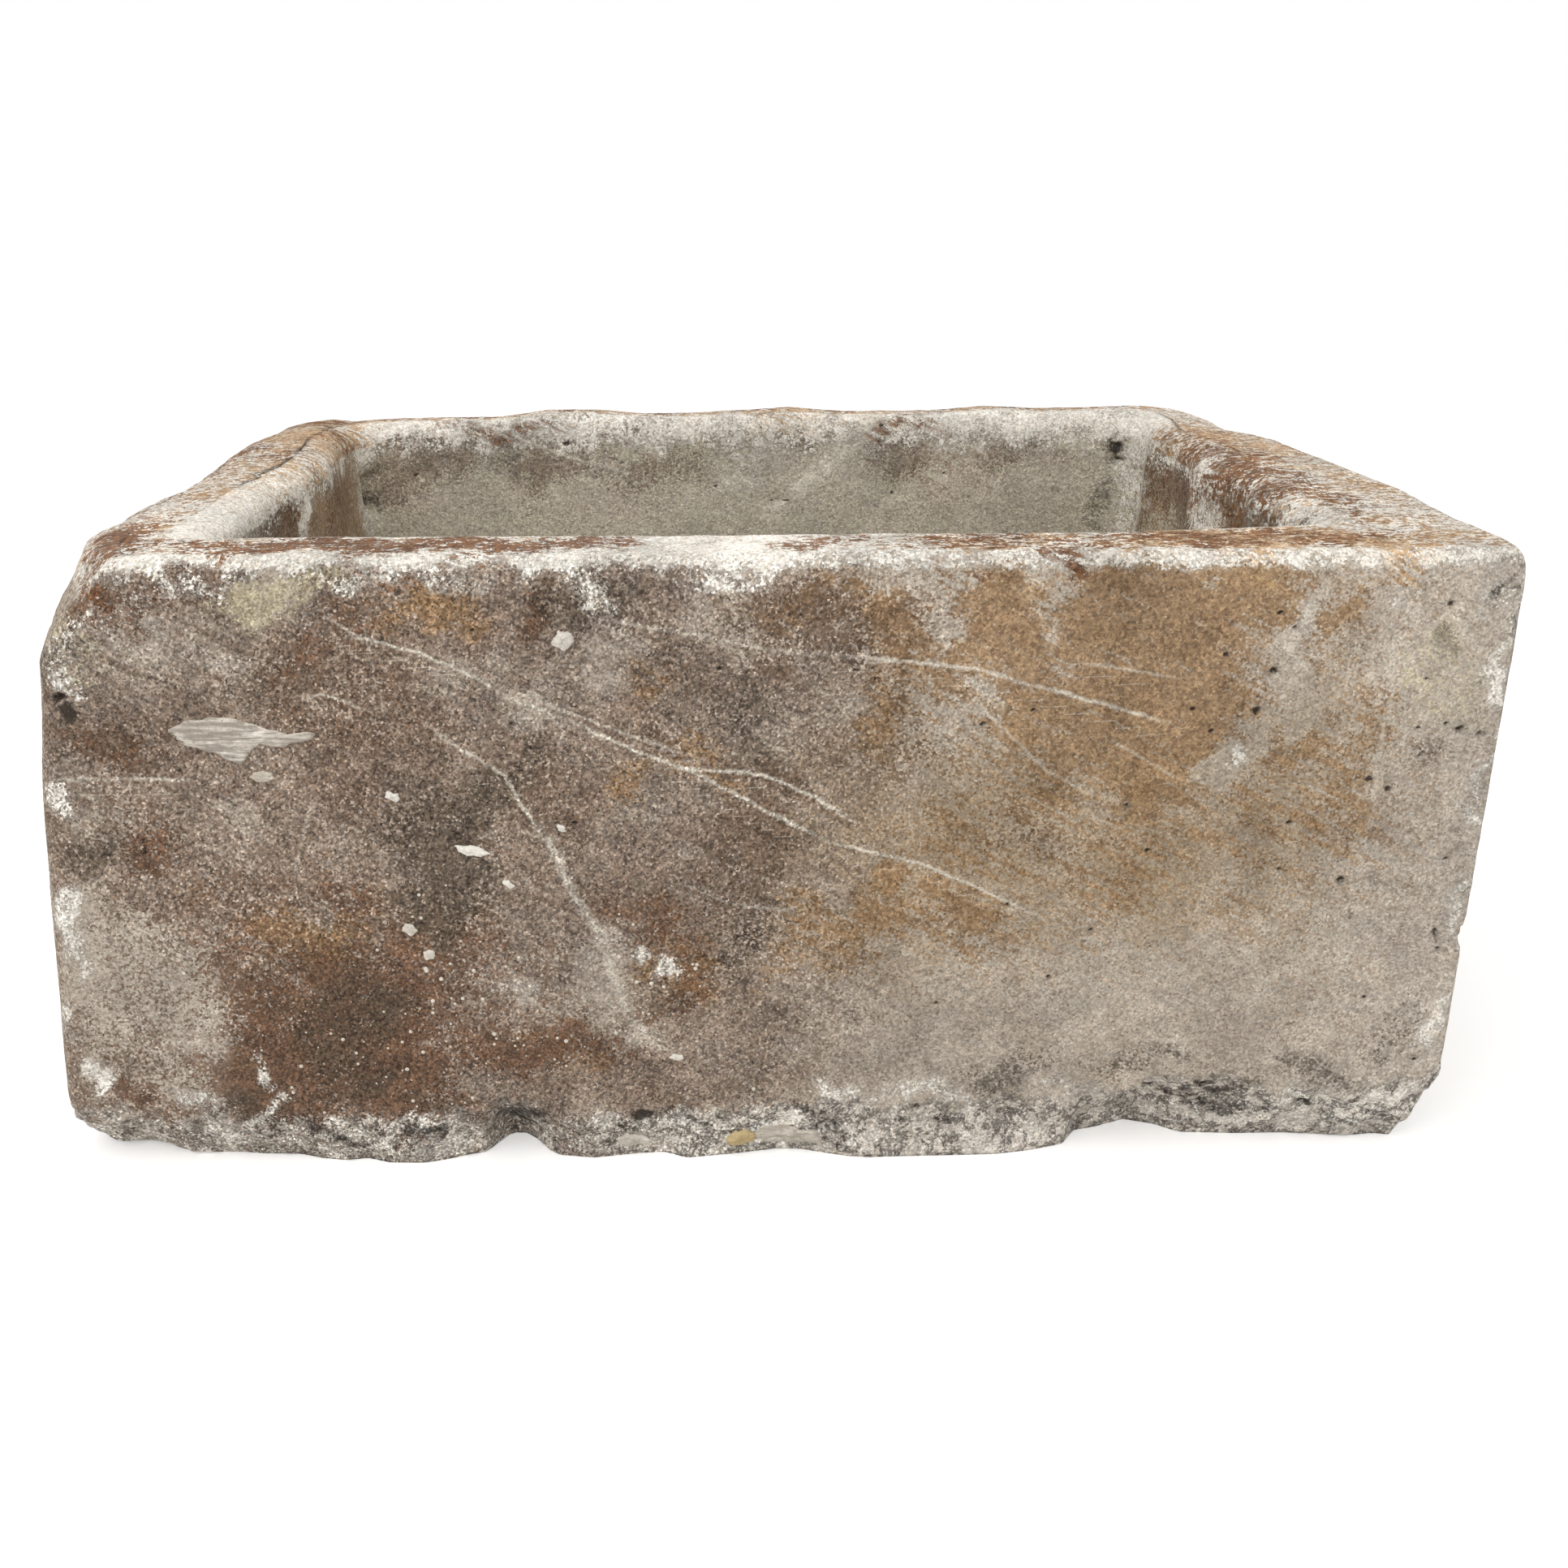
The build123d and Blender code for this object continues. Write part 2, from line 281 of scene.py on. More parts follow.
def stoneGrid():
    # Rows from the foot up the outside, over the rim, down the basin, through the drain and back
    shape, count = stoneShape, meshRows
    drop = shape["outerWearDrop"]
    heights = np.concatenate([
        np.linspace(0, shape["bandTop"], count["band"], endpoint=False),
        np.linspace(shape["bandTop"], shape["wallTop"], count["wall"], endpoint=False),
        np.linspace(shape["wallTop"], shape["frontHeight"] - drop, count["shoulder"], endpoint=False),
    ]) / (shape["frontHeight"] - drop)
    rows = {"wall": [blockRing(height, 0, drop) for height in heights]}
    quarter = np.radians(np.linspace(0, 90, count["arris"]))
    rows["arris"] = [blockRing(1, 1 - np.cos(turn), drop * (1 - np.sin(turn))) for turn in quarter]

    def lipRow(turn):
        ring = basinRing(1 - np.cos(turn), 0)
        return np.column_stack([ring, rimHeight(ring[:, 1]) - shape["lipWearDrop"] * (1 - np.sin(turn))])

    def floorRow(turn):
        ring = basinRing(0, shape["draft"] + shape["floorRadius"] * (1 - np.sin(turn)))
        height = shape["floorHeight"] + shape["floorRadius"] * (1 - np.cos(turn))
        return np.column_stack([ring, np.full(len(ring), height)])

    rows["lip"] = [lipRow(turn) for turn in np.radians(np.linspace(90, 0, count["lip"]))]
    rimShares = np.linspace(0, 1, count["rim"] + 2)[1:-1]
    rows["rim"] = between(rows["arris"][-1], rows["lip"][0], rimShares)
    turns = np.radians(np.linspace(90, 0, count["floorTurn"]))
    rows["floorTurn"] = [floorRow(turn) for turn in turns]
    wallShares = np.linspace(0, 1, count["basin"] + 2)[1:-1] ** shape["basinSpread"]
    rows["basin"] = between(rows["lip"][-1], rows["floorTurn"][0], wallShares)

    edge = rows["floorTurn"][-1]
    centre = (edge.min(0) + edge.max(0)) / 2
    spokes = edge - centre
    reach = np.hypot(spokes[:, 0], spokes[:, 1])[:, None]
    rows["floor"] = []
    for share in np.linspace(0, 1, count["floor"] + 1)[1:]:
        distance = reach * (1 - share) + shape["drainRadius"] * share
        ring = centre + spokes * distance / reach
        fall = shape["floorFall"] * np.clip(1 - distance[:, 0] / shape["fallRadius"], 0, 1)
        ring[:, 2] = shape["floorHeight"] - fall
        rows["floor"].append(ring)
    mouth = rows["floor"][-1]
    foot = mouth * (1, 1, 0)
    rows["drain"] = between(mouth, foot, np.linspace(0, 1, count["drain"] + 1)[1:])
    order = ["wall", "arris", "rim", "lip", "basin", "floorTurn", "floor", "drain"]
    names = [name for name in order for _ in rows[name]]
    return np.array([row for name in order for row in rows[name]]), np.array(names)[:, None]


grid, rowNames = stoneGrid()
across = np.roll(grid[0], -1, 0) - np.roll(grid[0], 1, 0)
across /= np.hypot(across[:, 0], across[:, 1])[:, None]
faceX, faceY = across[:, 1], -across[:, 0]  # outwards in plan, column by column
outside = np.isin(rowNames, ["wall", "arris"])
outsideAndRim = np.isin(rowNames, ["wall", "arris", "rim"])
top = np.isin(rowNames, ["arris", "rim", "lip"])
inside = np.isin(rowNames, ["lip", "basin", "floorTurn"])
towardsFront, towardsBack = np.clip(-faceY, 0, 1), np.clip(faceY, 0, 1)
towardsLeft, towardsRight = np.clip(-faceX, 0, 1), np.clip(faceX, 0, 1)
broken = np.zeros(grid.shape[:2])


def shapeOutside():
    x, y, z = np.moveaxis(grid.copy(), -1, 0)
    # The foot of the front, broken back
    rise = follow(footRise, x) * (1 + 0.12 * wobble(x, 61, 1.0))
    up = np.clip(1 - z / rise, 0, 1)
    bite = follow(footBite, x) * (1 - (1 - up) ** follow(footUndercut, x))
    atFront = np.maximum(towardsFront, ease(-250, -305, y))
    grid[..., 1] += outside * atFront * bite
    broken[:] = np.maximum(broken, outside * atFront * ease(rise + 8, rise - 8, z))
    # The other three feet
    feet = [(y, towardsLeft, 0, 1), (y, towardsRight, 0, -1), (x, towardsBack, 1, -1)]
    for place, side, axis, sign in feet:
        chipRise = chips["rise"] + chips["riseSwing"] * wobble(place, 180, 0.4 + axis)
        chip = chips["depth"] + chips["depthSwing"] * wobble(place, 130, 1.7 + sign)
        chip = chip * (1 - (1 - np.clip(1 - z / chipRise, 0, 1)) ** 1.2)
        grid[..., axis] += sign * outside * side * chip
        broken[:] = np.maximum(broken, outside * side * ease(chipRise + 8, chipRise - 8, z))
    # The two lower corners of the front and its worn left shoulder
    leftRound, rightRound = (
        reach * np.clip(1 - z / height, 0, 1) ** power for reach, height, power in footCorners.values()
    )
    rounding = ease(-430, -520, x) * leftRound - ease(420, 500, x) * rightRound
    grid[..., 0] += outside * ease(-170, -290, y) * rounding
    shoulder = follow(leftShoulderPull, z) * ease(-150, -300, y) * ease(-340, -480, x)
    grid[..., 0] += outsideAndRim * shoulder


def shapeTop():
    x, y, z = np.moveaxis(grid.copy(), -1, 0)
    high = ease(330, 484, z)
    grid[..., 2] += high * ease(120, 300, y) * follow(backRimRise, x)
    dip = leftRimDip * ease(-415, -475, x) * ease(60, -170, y) * ease(-318, -290, y)
    grid[..., 2] -= high * outsideAndRim * dip
    outerTop = outsideAndRim * ease(300, 470, z)
    grid[..., 0] += outerTop * ease(-390, -470, x) * follow(leftRimPull, y)
    grid[..., 0] -= outerTop * ease(425, 500, x) * follow(rightRimPull, y)
    innerTop = np.isin(rowNames, ["rim", "lip", "basin"]) * ease(250, 450, z)
    grid[..., 0] += innerTop * ease(-465, -405, x) * ease(-295, -355, x) * follow(leftLipPull, y)
    grid[..., 0] += innerTop * ease(475, 430, x) * ease(306, 366, x) * follow(rightLipPull, y)
    grid[..., 1] -= innerTop * ease(-318, -262, y) * ease(-140, -200, y) * follow(frontLipPull, x)


def cutSpalls():
    axes = dict(zip("xyz", np.eye(3)))
    for spot, faces, halfWidth, firstReach, secondReach in spalls:
        first, second = (axes[name] * (1 if sign == "+" else -1) for sign, name in (faces[:2], faces[2:]))
        firstShift = (halfWidth**2 - secondReach**2) / (2 * secondReach)
        secondShift = (halfWidth**2 - firstReach**2) / (2 * firstReach)
        centre = np.array(spot) + first * firstShift + second * secondShift
        radius = np.sqrt(halfWidth**2 + firstShift**2 + secondShift**2)
        away = grid - centre
        distance = np.linalg.norm(away, axis=-1)
        inBall = (distance < radius) & (outside | top)
        grid[inBall] = (centre + away / distance[..., None] * radius)[inBall]
        broken[inBall] = 1


def sinkPits(pits, rowMask, side):
    # Draws the nearest point of the grid to each pit and presses it in. The points round it
    # become the edge of the pit, which is a little lower than it is wide.
    flatness = 0.7
    for x, z, size, depth in pits:
        elsewhere = ~(rowMask & (side > 0.7))
        away = np.hypot(grid[..., 0] - x, grid[..., 2] - z) + outOfReach * elsewhere
        row, column = np.unravel_index(away.argmin(), away.shape)
        for stepRow, stepColumn in np.ndindex(3, 3):
            point = grid[(row + stepRow - 1) % len(grid), (column + stepColumn - 1) % grid.shape[1]]
            if stepRow == stepColumn == 1:
                point[0], point[2] = x, z
                point[1] += depth
            else:
                turn = np.arctan2(point[2] - z, point[0] - x)
                point[0], point[2] = x + size * np.cos(turn), z + flatness * size * np.sin(turn)
        pitted[row, column] = 1


pitted = np.zeros(grid.shape[:2])
shapeOutside()
shapeTop()
cutSpalls()
sinkPits(frontPits, rowNames == "wall", towardsFront)
sinkPits(backWallPits, inside, towardsBack)
grid[..., 2] = np.maximum(grid[..., 2], 0)
footRing = grid[0] * (1, 1, 0)
under = np.array(between(grid[-1], footRing, np.linspace(0, 1, meshRows["under"] + 2)[1:-1]))
rowNames = np.concatenate([rowNames, np.full((len(under), 1), "under")])
broken, pitted = (np.concatenate([field, np.zeros(under.shape[:2])]) for field in (broken, pitted))
grid = np.concatenate([grid, under])
print("stone grid shaped,", grid.shape[0], "rows of", grid.shape[1])

# Stains. Each row of a face: across, up, half width, half height, amount and, where it leans, its turn
# in degrees. Across and up are X and Z on the front and on the back wall, X and Y on the rim,
# and Y and Z on the side walls.
stains = {
    "mauve": {"front": [
        (-455, 175, 52, 36, -0.65, -6), (-414, 112, 28, 20, -0.8), (-430, 65, 24, 12, -0.6),
        (-450, 150, 60, 60, -0.35), (-425, 100, 30, 24, -0.3), (-496, 232, 14, 20, -0.6),
        (-490, 130, 24, 60, -0.45), (-440, 60, 50, 20, -0.45), (-150, 150, 40, 50, -0.35),
        (-470, 300, 22, 28, -0.25), (-425, 420, 36, 22, -0.35), (-342, 452, 28, 20, -0.5),
        (-360, 402, 20, 8, -0.4, 12), (-364, 292, 14, 12, -0.3), (-218, 408, 22, 14, -0.3),
        (-160, 375, 34, 16, -0.25, -24), (-108, 410, 22, 22, -0.35), (-112, 165, 16, 34, -0.5),
        (-86, 108, 20, 8, -0.4), (-25, 440, 22, 14, -0.3), (50, 360, 50, 50, 0.3), (60, 280, 50, 40, 0.3),
        (90, 440, 60, 20, 0.25), (-270, 340, 60, 20, 0.2, -20),
    ]},
    "umber": {"front": [
        (-456, 455, 11, 8, 1.2), (-326, 398, 26, 34, 0.55), (-458, 346, 38, 11, 1.0),
        (-150, 300, 36, 36, 0.35), (-45, 396, 42, 18, 0.5), (-26, 272, 26, 34, 0.65),
        (-20, 205, 20, 28, 0.6), (10, 397, 10, 12, 0.8), (20, 315, 24, 10, 1.1, -22),
        (6, 256, 16, 44, 0.75), (40, 433, 44, 13, 0.5), (94, 380, 10, 14, 0.4), (-270, 300, 30, 24, 0.35),
        (-205, 200, 30, 20, 0.4), (-382, 226, 30, 22, 0.4), (-70, 345, 34, 9, 0.5, -22),
        (-290, 350, 26, 14, 0.3), (190, 268, 34, 18, 0.3, -20), (110, 330, 60, 20, 0.3, -20),
        (20, 450, 60, 12, 0.5), (-380, 130, 20, 30, 0.5), (-250, 150, 22, 22, 0.4), (-210, 90, 20, 16, 0.4),
        (30, 130, 20, 14, 0.3), (-265, 380, 44, 50, 0.35), (-450, 300, 40, 30, 0.25),
        (80, 420, 70, 40, 0.3), (60, 350, 60, 30, 0.2), (200, 280, 60, 40, 0.15), (-305, 120, 50, 50, 0.5),
        (-60, 60, 34, 10, 0.4), (-390, 30, 80, 12, 0.4),
    ], "backWall": [
        (-270, 458, 110, 24, 0.8, -6), (165, 462, 34, 26, 0.8), (-60, 440, 50, 18, 0.4, 12),
        (300, 455, 40, 14, 0.5), (-360, 430, 24, 34, 0.4), (40, 474, 50, 12, 0.7), (-130, 484, 60, 8, 0.6),
        (230, 482, 50, 8, 0.6),
    ], "rightWall": [
        (-110, 470, 110, 24, 1.0, 3), (130, 455, 66, 24, 0.9), (-150, 420, 40, 60, 0.7),
        (60, 440, 50, 50, 0.6), (210, 440, 30, 60, 0.7),
    ], "leftWall": [
        (-80, 456, 52, 26, 1.1), (-170, 420, 50, 60, 0.5), (40, 470, 40, 14, 0.6),
    ]},
    "rust": {"front": [
        (-431, 262, 16, 19, 0.8, -30), (-298, 106, 46, 50, 0.95), (-376, 92, 26, 26, 0.9),
        (-281, 84, 24, 26, 0.7), (-380, 160, 22, 40, 0.6), (-300, 165, 40, 16, 0.4), (-468, 75, 16, 8, 1.0),
        (-416, 91, 12, 9, 0.8), (-152, 103, 46, 15, 1.0), (-62, 137, 17, 12, 0.6), (-58, 170, 24, 22, 0.5),
        (-162, 448, 8, 14, 1.0), (-70, 215, 22, 18, 0.6), (-305, 230, 24, 12, 0.6), (-246, 80, 16, 22, 0.5),
        (-355, 50, 40, 9, 0.5), (-450, 352, 40, 7, 0.5), (-318, 410, 14, 12, 0.5), (-440, 452, 50, 14, 0.6),
        (-380, 462, 30, 12, 0.4), (-290, 440, 20, 20, 0.4), (-250, 175, 34, 26, 0.45),
        (-345, 60, 60, 20, 0.6), (-370, 130, 130, 100, 0.12), (-310, 110, 60, 60, 0.4),
        (-440, 45, 40, 9, 0.4), (-280, 38, 60, 14, 0.6), (-360, 36, 40, 8, 0.5), (-200, 120, 40, 30, 0.3),
        (-260, 200, 30, 14, 0.4), (-200, 190, 16, 20, 0.3), (-100, 225, 16, 16, 0.3),
    ], "leftWall": [(110, 440, 90, 34, 0.6), (-60, 450, 50, 30, 0.5)], "rightWall": [
        (100, 450, 90, 30, 0.7), (-80, 440, 60, 40, 0.6),
    ]},
    "honey": {"front": [
        (240, 270, 120, 62, 0.9), (340, 235, 90, 44, 0.5), (90, 300, 90, 70, 0.5), (390, 330, 70, 60, 0.5),
        (130, 190, 110, 40, 0.4), (-60, 150, 40, 40, 0.3),
    ]},
    "ochre": {"front": [
        (-331, 197, 38, 20, 1.0), (-222, 443, 32, 14, 1.0), (-66, 168, 26, 20, 0.6),
        (-86, 325, 13, 18, 0.7), (-86, 400, 13, 16, 0.5), (-45, 165, 16, 28, 0.6), (30, 462, 18, 8, 0.6),
        (100, 437, 17, 20, 0.8), (170, 455, 24, 14, 1.0), (172, 418, 26, 17, 1.1), (88, 362, 13, 22, 0.7),
        (285, 433, 72, 38, 1.15), (272, 368, 42, 36, 1.0, -35), (190, 375, 22, 20, 0.8),
        (322, 378, 20, 10, 0.6), (380, 345, 18, 10, 0.8), (402, 448, 12, 10, 0.7), (395, 296, 44, 36, 0.25),
        (262, 258, 42, 34, 0.3), (200, 315, 28, 14, 0.45), (104, 243, 9, 14, 1.0), (85, 233, 12, 14, 0.7),
        (152, 221, 28, 11, 1.0), (78, 214, 20, 12, 0.8), (24, 203, 24, 22, 0.5), (16, 160, 14, 18, 0.3),
        (331, 466, 14, 8, 0.9), (120, 200, 60, 12, 0.5, -8), (140, 270, 50, 18, 0.3, -20),
        (377, 400, 9, 50, -0.9), (352, 335, 8, 24, -0.7), (333, 320, 12, 16, -1.0),
        (235, 395, 110, 75, 0.35), (250, 400, 60, 60, 0.3), (207, 428, 8, 28, -0.7),
        (132, 433, 12, 14, -0.7), (237, 410, 8, 14, -0.5), (-149, 100, 36, 12, 0.4),
        (-290, 215, 24, 12, 0.4), (430, 330, 14, 40, 0.4), (60, 180, 30, 14, 0.4), (-340, 150, 30, 16, 0.3),
        (112, 402, 40, 20, 0.5), (240, 330, 50, 16, 0.5, -20), (300, 325, 34, 24, 0.5),
        (-40, 332, 34, 14, 0.4, -24), (340, 290, 24, 30, 0.2), (60, 445, 60, 12, 0.4),
    ], "leftWall": [(110, 430, 115, 70, 1.2), (-60, 440, 60, 50, 0.7)], "rightWall": [
        (-20, 440, 110, 60, 1.1), (190, 440, 60, 90, 1.0),
    ], "backWall": [(230, 440, 60, 40, 0.2)]},
    "tan": {"rim": [
        (160, -280, 44, 20, 0.7), (-30, -288, 90, 30, -0.6), (330, -276, 100, 26, 0.8),
        (470, -285, 60, 26, 0.5), (-430, 190, 60, 90, 0.65), (-450, 20, 50, 60, 0.4),
        (-430, -90, 40, 50, 0.3), (490, 60, 50, 110, 0.45), (440, -80, 24, 110, 0.5),
        (510, -120, 16, 50, 0.3), (-440, 290, 50, 24, 0.6), (300, 310, 160, 14, 0.6),
        (-200, 312, 200, 12, 0.5), (440, 160, 30, 60, 0.5), (60, 290, 90, 20, 0.4),
        (-402, 110, 26, 130, 0.4),
    ]},
    "soot": {"front": [
        (-230, 256, 28, 40, 1.0, 8), (-192, 315, 22, 20, 0.7), (-205, 290, 18, 22, 0.4),
        (-305, 130, 34, 36, 0.4), (-320, 100, 16, 14, 0.6), (-285, 132, 14, 16, 0.6),
        (-352, 120, 12, 10, 0.5), (-300, 72, 22, 10, 0.6), (-130, 445, 28, 16, 0.6),
        (-92, 462, 22, 11, 0.7), (-472, 268, 18, 16, 0.4), (-4, 370, 20, 26, 0.5), (-12, 190, 14, 34, 0.5),
        (366, 65, 22, 10, 0.4), (473, 424, 8, 8, 1.0), (200, 74, 34, 14, 0.5), (500, 105, 24, 24, 0.4),
        (-165, 335, 10, 12, 0.6), (60, 400, 26, 8, 0.3), (-250, 215, 30, 16, 0.4), (300, 85, 40, 10, 0.4),
        (430, 70, 30, 12, 0.4), (-400, 62, 24, 8, 0.4), (-250, 50, 24, 8, 0.5), (470, 345, 14, 8, 0.3),
    ], "backWall": [(400, 430, 14, 60, 0.7), (-402, 440, 12, 40, 0.4)], "rightWall": [
        (60, 400, 50, 60, 0.3),
    ]},
    "lime": {"front": [
        (-470, 432, 13, 16, 0.5), (-481, 402, 10, 9, 0.9), (-492, 317, 8, 16, 0.9),
        (-496, 232, 10, 13, 1.5), (-507, 200, 7, 26, 0.9), (-506, 90, 9, 11, 1.2), (-513, 140, 5, 20, 0.8),
        (-376, 48, 10, 7, 0.7), (-321, 43, 11, 7, 0.4), (-379, 79, 3, 17, 0.9), (-120, 452, 7, 12, 1.0),
        (-135, 470, 26, 6, 0.6), (-228, 466, 20, 6, 0.4), (-310, 474, 90, 6, 0.5), (60, 474, 90, 6, -0.3),
        (-405, 469, 44, 7, 0.6), (-90, 177, 7, 6, 1.1), (-73, 160, 9, 8, 1.1), (-210, 150, 16, 14, 0.2),
        (22, 20, 26, 11, 1.2), (65, 62, 26, 8, 0.7), (140, 56, 36, 10, 0.5), (527, 390, 5, 80, 1.0),
        (527, 240, 5, 50, 0.9), (525, 110, 6, 40, 0.8), (333, 322, 8, 9, 0.7), (-416, 112, 22, 12, 0.25),
        (-430, 65, 22, 10, 0.5), (-60, 25, 50, 8, 0.4), (230, 60, 30, 9, 0.4), (450, 38, 50, 12, 0.8),
        (-285, 30, 30, 8, 0.4), (-183, 145, 9, 12, 0.3), (-345, 160, 16, 5, 0.2), (-300, 148, 18, 5, 0.15),
        (-330, 62, 24, 8, 0.15), (-240, 108, 14, 6, 0.15), (-430, 440, 36, 16, 0.25),
        (505, 455, 18, 12, 0.5), (440, 440, 20, 8, 0.3),
    ], "rim": [
        (505, -170, 22, 50, 0.6), (506, 180, 22, 60, 0.4), (-450, 40, 50, 200, 0.65),
        (-36, -285, 40, 40, 1.0), (-405, -150, 20, 90, 0.5), (-240, -313, 170, 7, 0.2),
    ], "backWall": [
        (-350, 484, 60, 8, 0.6), (300, 486, 120, 8, 0.7), (10, 440, 40, 30, 0.2),
    ], "rightWall": [
        (10, 440, 36, 34, 0.7), (-60, 476, 60, 8, 0.5), (230, 440, 40, 80, 0.7),
    ], "leftWall": [
        (250, 430, 18, 90, 0.8), (-14, 440, 5, 50, 1.2), (-60, 480, 30, 8, 0.5),
    ]},
    "lichen": {"front": [
        (-338, 461, 28, 15, 1.3), (-470, 432, 13, 13, 0.9), (-482, 405, 10, 12, 0.7),
        (485, 395, 26, 38, 0.35), (465, 370, 12, 30, 0.3), (-300, 462, 14, 8, 0.5),
    ], "backWall": [(-414, 420, 20, 60, 0.5)]},
    "bloom": {"front": [
        (-455, 175, 50, 34, 0.5, -6), (-414, 112, 26, 19, 1.3), (-430, 65, 22, 12, 0.8),
        (-360, 402, 20, 7, 0.8, 12), (-306, 389, 14, 5, 0.7, -14), (-470, 300, 22, 28, 0.2),
        (-364, 292, 14, 12, 0.5), (-262, 400, 12, 20, 0.25), (-218, 404, 20, 12, 0.4),
        (-160, 375, 34, 16, 0.4, -24), (-108, 410, 20, 22, 0.6), (-25, 440, 20, 14, 0.5),
        (-112, 165, 15, 34, 0.8), (-86, 108, 20, 8, 0.8), (-183, 140, 36, 24, 0.35),
        (122, 364, 24, 17, 0.7), (175, 328, 28, 12, 0.6, -18), (207, 428, 7, 24, 0.4),
        (132, 433, 12, 14, 0.4), (377, 400, 9, 50, 1.0), (352, 335, 8, 24, 1.1), (333, 320, 12, 15, 1.2),
        (335, 280, 12, 26, 0.4), (20, 345, 16, 12, 0.4), (450, 330, 6, 70, 0.6),
        (60, 376, 30, 12, 0.4, -12), (-90, 300, 20, 14, 0.3), (-440, 300, 14, 10, 0.3),
        (480, 300, 30, 30, 0.3), (-300, 270, 20, 10, 0.25), (80, 330, 30, 10, 0.4, -20),
        (-425, 420, 40, 24, 0.45),
    ], "backWall": [
        (-134, 410, 40, 34, 0.7), (290, 430, 90, 40, 0.6), (60, 430, 60, 30, 0.5), (-330, 400, 70, 20, 0.5),
    ], "rim": [(470, -285, 60, 26, 0.5)]},
    "flake": {"rim": [
        (-240, -281, 160, 17, 0.95), (-350, -296, 50, 8, 0.5), (34, -278, 26, 18, 0.6),
        (150, -277, 50, 18, 0.5), (330, -276, 100, 20, 0.55), (-456, -240, 20, 50, 0.9),
        (-476, 60, 12, 200, 0.3), (-456, 280, 40, 24, 0.4), (-200, 312, 260, 9, 0.4),
        (240, 312, 280, 9, 0.3), (460, -60, 20, 160, 0.4), (434, 60, 16, 120, 0.5),
        (-36, -285, 38, 36, -0.8), (200, -300, 60, 8, 0.3), (-406, 200, 20, 50, 0.5),
        (-412, 70, 16, 40, 0.3), (-470, 130, 16, 60, 0.3),
    ], "rightWall": [(-30, 465, 110, 24, 0.5)], "backWall": [
        (-250, 478, 90, 10, 0.4), (170, 480, 60, 10, 0.4),
    ], "front": [
        (-220, 474, 60, 6, 0.4), (170, 476, 60, 6, 0.3), (-455, 462, 20, 7, 0.6),
    ]},
    "specks": {"front": [
        (-200, 135, 36, 36, 1.1), (-80, 155, 26, 46, 1.1), (-164, 110, 36, 26, 0.5),
        (-314, 120, 60, 50, 0.4), (-184, 262, 14, 8, 0.8), (-94, 235, 24, 30, 0.4), (-254, 60, 60, 30, 0.3),
        (-244, 200, 40, 40, 0.2), (-420, 140, 50, 40, 0.15), (40, 60, 80, 30, 0.2),
    ]},
    "tooling": {"front": [
        (330, 140, 210, 110, 0.6, -6), (420, 280, 90, 70, 0.5), (90, 130, 80, 70, 0.3),
        (250, 380, 150, 90, 0.6),
    ]},
    # Dirt with painted shade: dark in the pits and in the notches of the broken foot
    "grime": {"front": [
        (350, 36, 50, 10, 0.6), (58, 28, 15, 17, 0.6), (-190, 30, 24, 16, 0.8), (-94, 38, 26, 5, 0.6),
        (206, 40, 26, 10, 0.4), (-24, 38, 18, 5, 0.5), (521, 462, 7, 12, 0.6), (-489, 384, 7, 8, 1.2),
        (362, 57, 14, 5, 0.9), (425, 38, 7, 5, 0.8), (-88, 40, 5, 5, 0.9), (-49, 34, 9, 4, 0.9),
        (120, 34, 12, 5, 0.6), (-330, 26, 26, 7, 0.7), (-260, 24, 24, 7, 0.7), (480, 30, 12, 6, 0.6),
        (-440, 30, 16, 6, 0.5), (150, 30, 12, 6, 0.5), (450, 52, 16, 5, 0.5), (-130, 22, 12, 7, 0.5),
    ], "backWall": [
        (410, 462, 10, 12, 0.9), (-402, 430, 6, 5, 0.8), (-402, 405, 6, 5, 0.8),
    ]},
}
# What each stain is over a whole face, before its patches
washes = {
    "wall": {"mauve": 0.45, "rust": 0.3, "soot": 0.25, "ochre": 0.3, "lime": 0.12, "bloom": 0.25},
    "arris": {"lime": 0.8, "flake": 0.25, "tan": 0.2},
    "rim": {"lime": 1.3, "tan": 0.35, "flake": 0.2},
    "lip": {"lime": 0.75, "umber": 0.2, "ochre": 0.3},
    "basin": {"olive": 1.0, "umber": 0.15, "ochre": 0.1, "bloom": 0.45, "lime": 0.1},
    "floorTurn": {"olive": 1.0, "soot": 0.5, "bloom": 0.2},
    "floor": {"olive": 1.0, "soot": 0.3, "umber": 0.6, "bloom": 0.15},
    "drain": {"olive": 0.6, "soot": 0.9},
    "under": {"bloom": 0.4, "soot": 0.3},
}
# Each face: its rows of the grid, the side that it looks towards, and the axes across and up it
faces = {}
for face, names, side, across, up in (
    ("rim", ["arris", "rim", "lip"], np.ones(len(faceX)), 0, 1),
    ("front", ["wall", "arris"], towardsFront, 0, 2),
    ("backWall", ["lip", "basin"], towardsBack, 0, 2),
    ("leftWall", ["lip", "basin"], towardsLeft, 1, 2),
    ("rightWall", ["lip", "basin"], towardsRight, 1, 2),
):
    faces[face] = (np.isin(rowNames, names) * np.clip(side * 3 - 1.6, 0, 1), across, up)

# The length and the reach of the waves in which the patches wander, broadly and finely
wanders = ((97, 9), (31, 4))


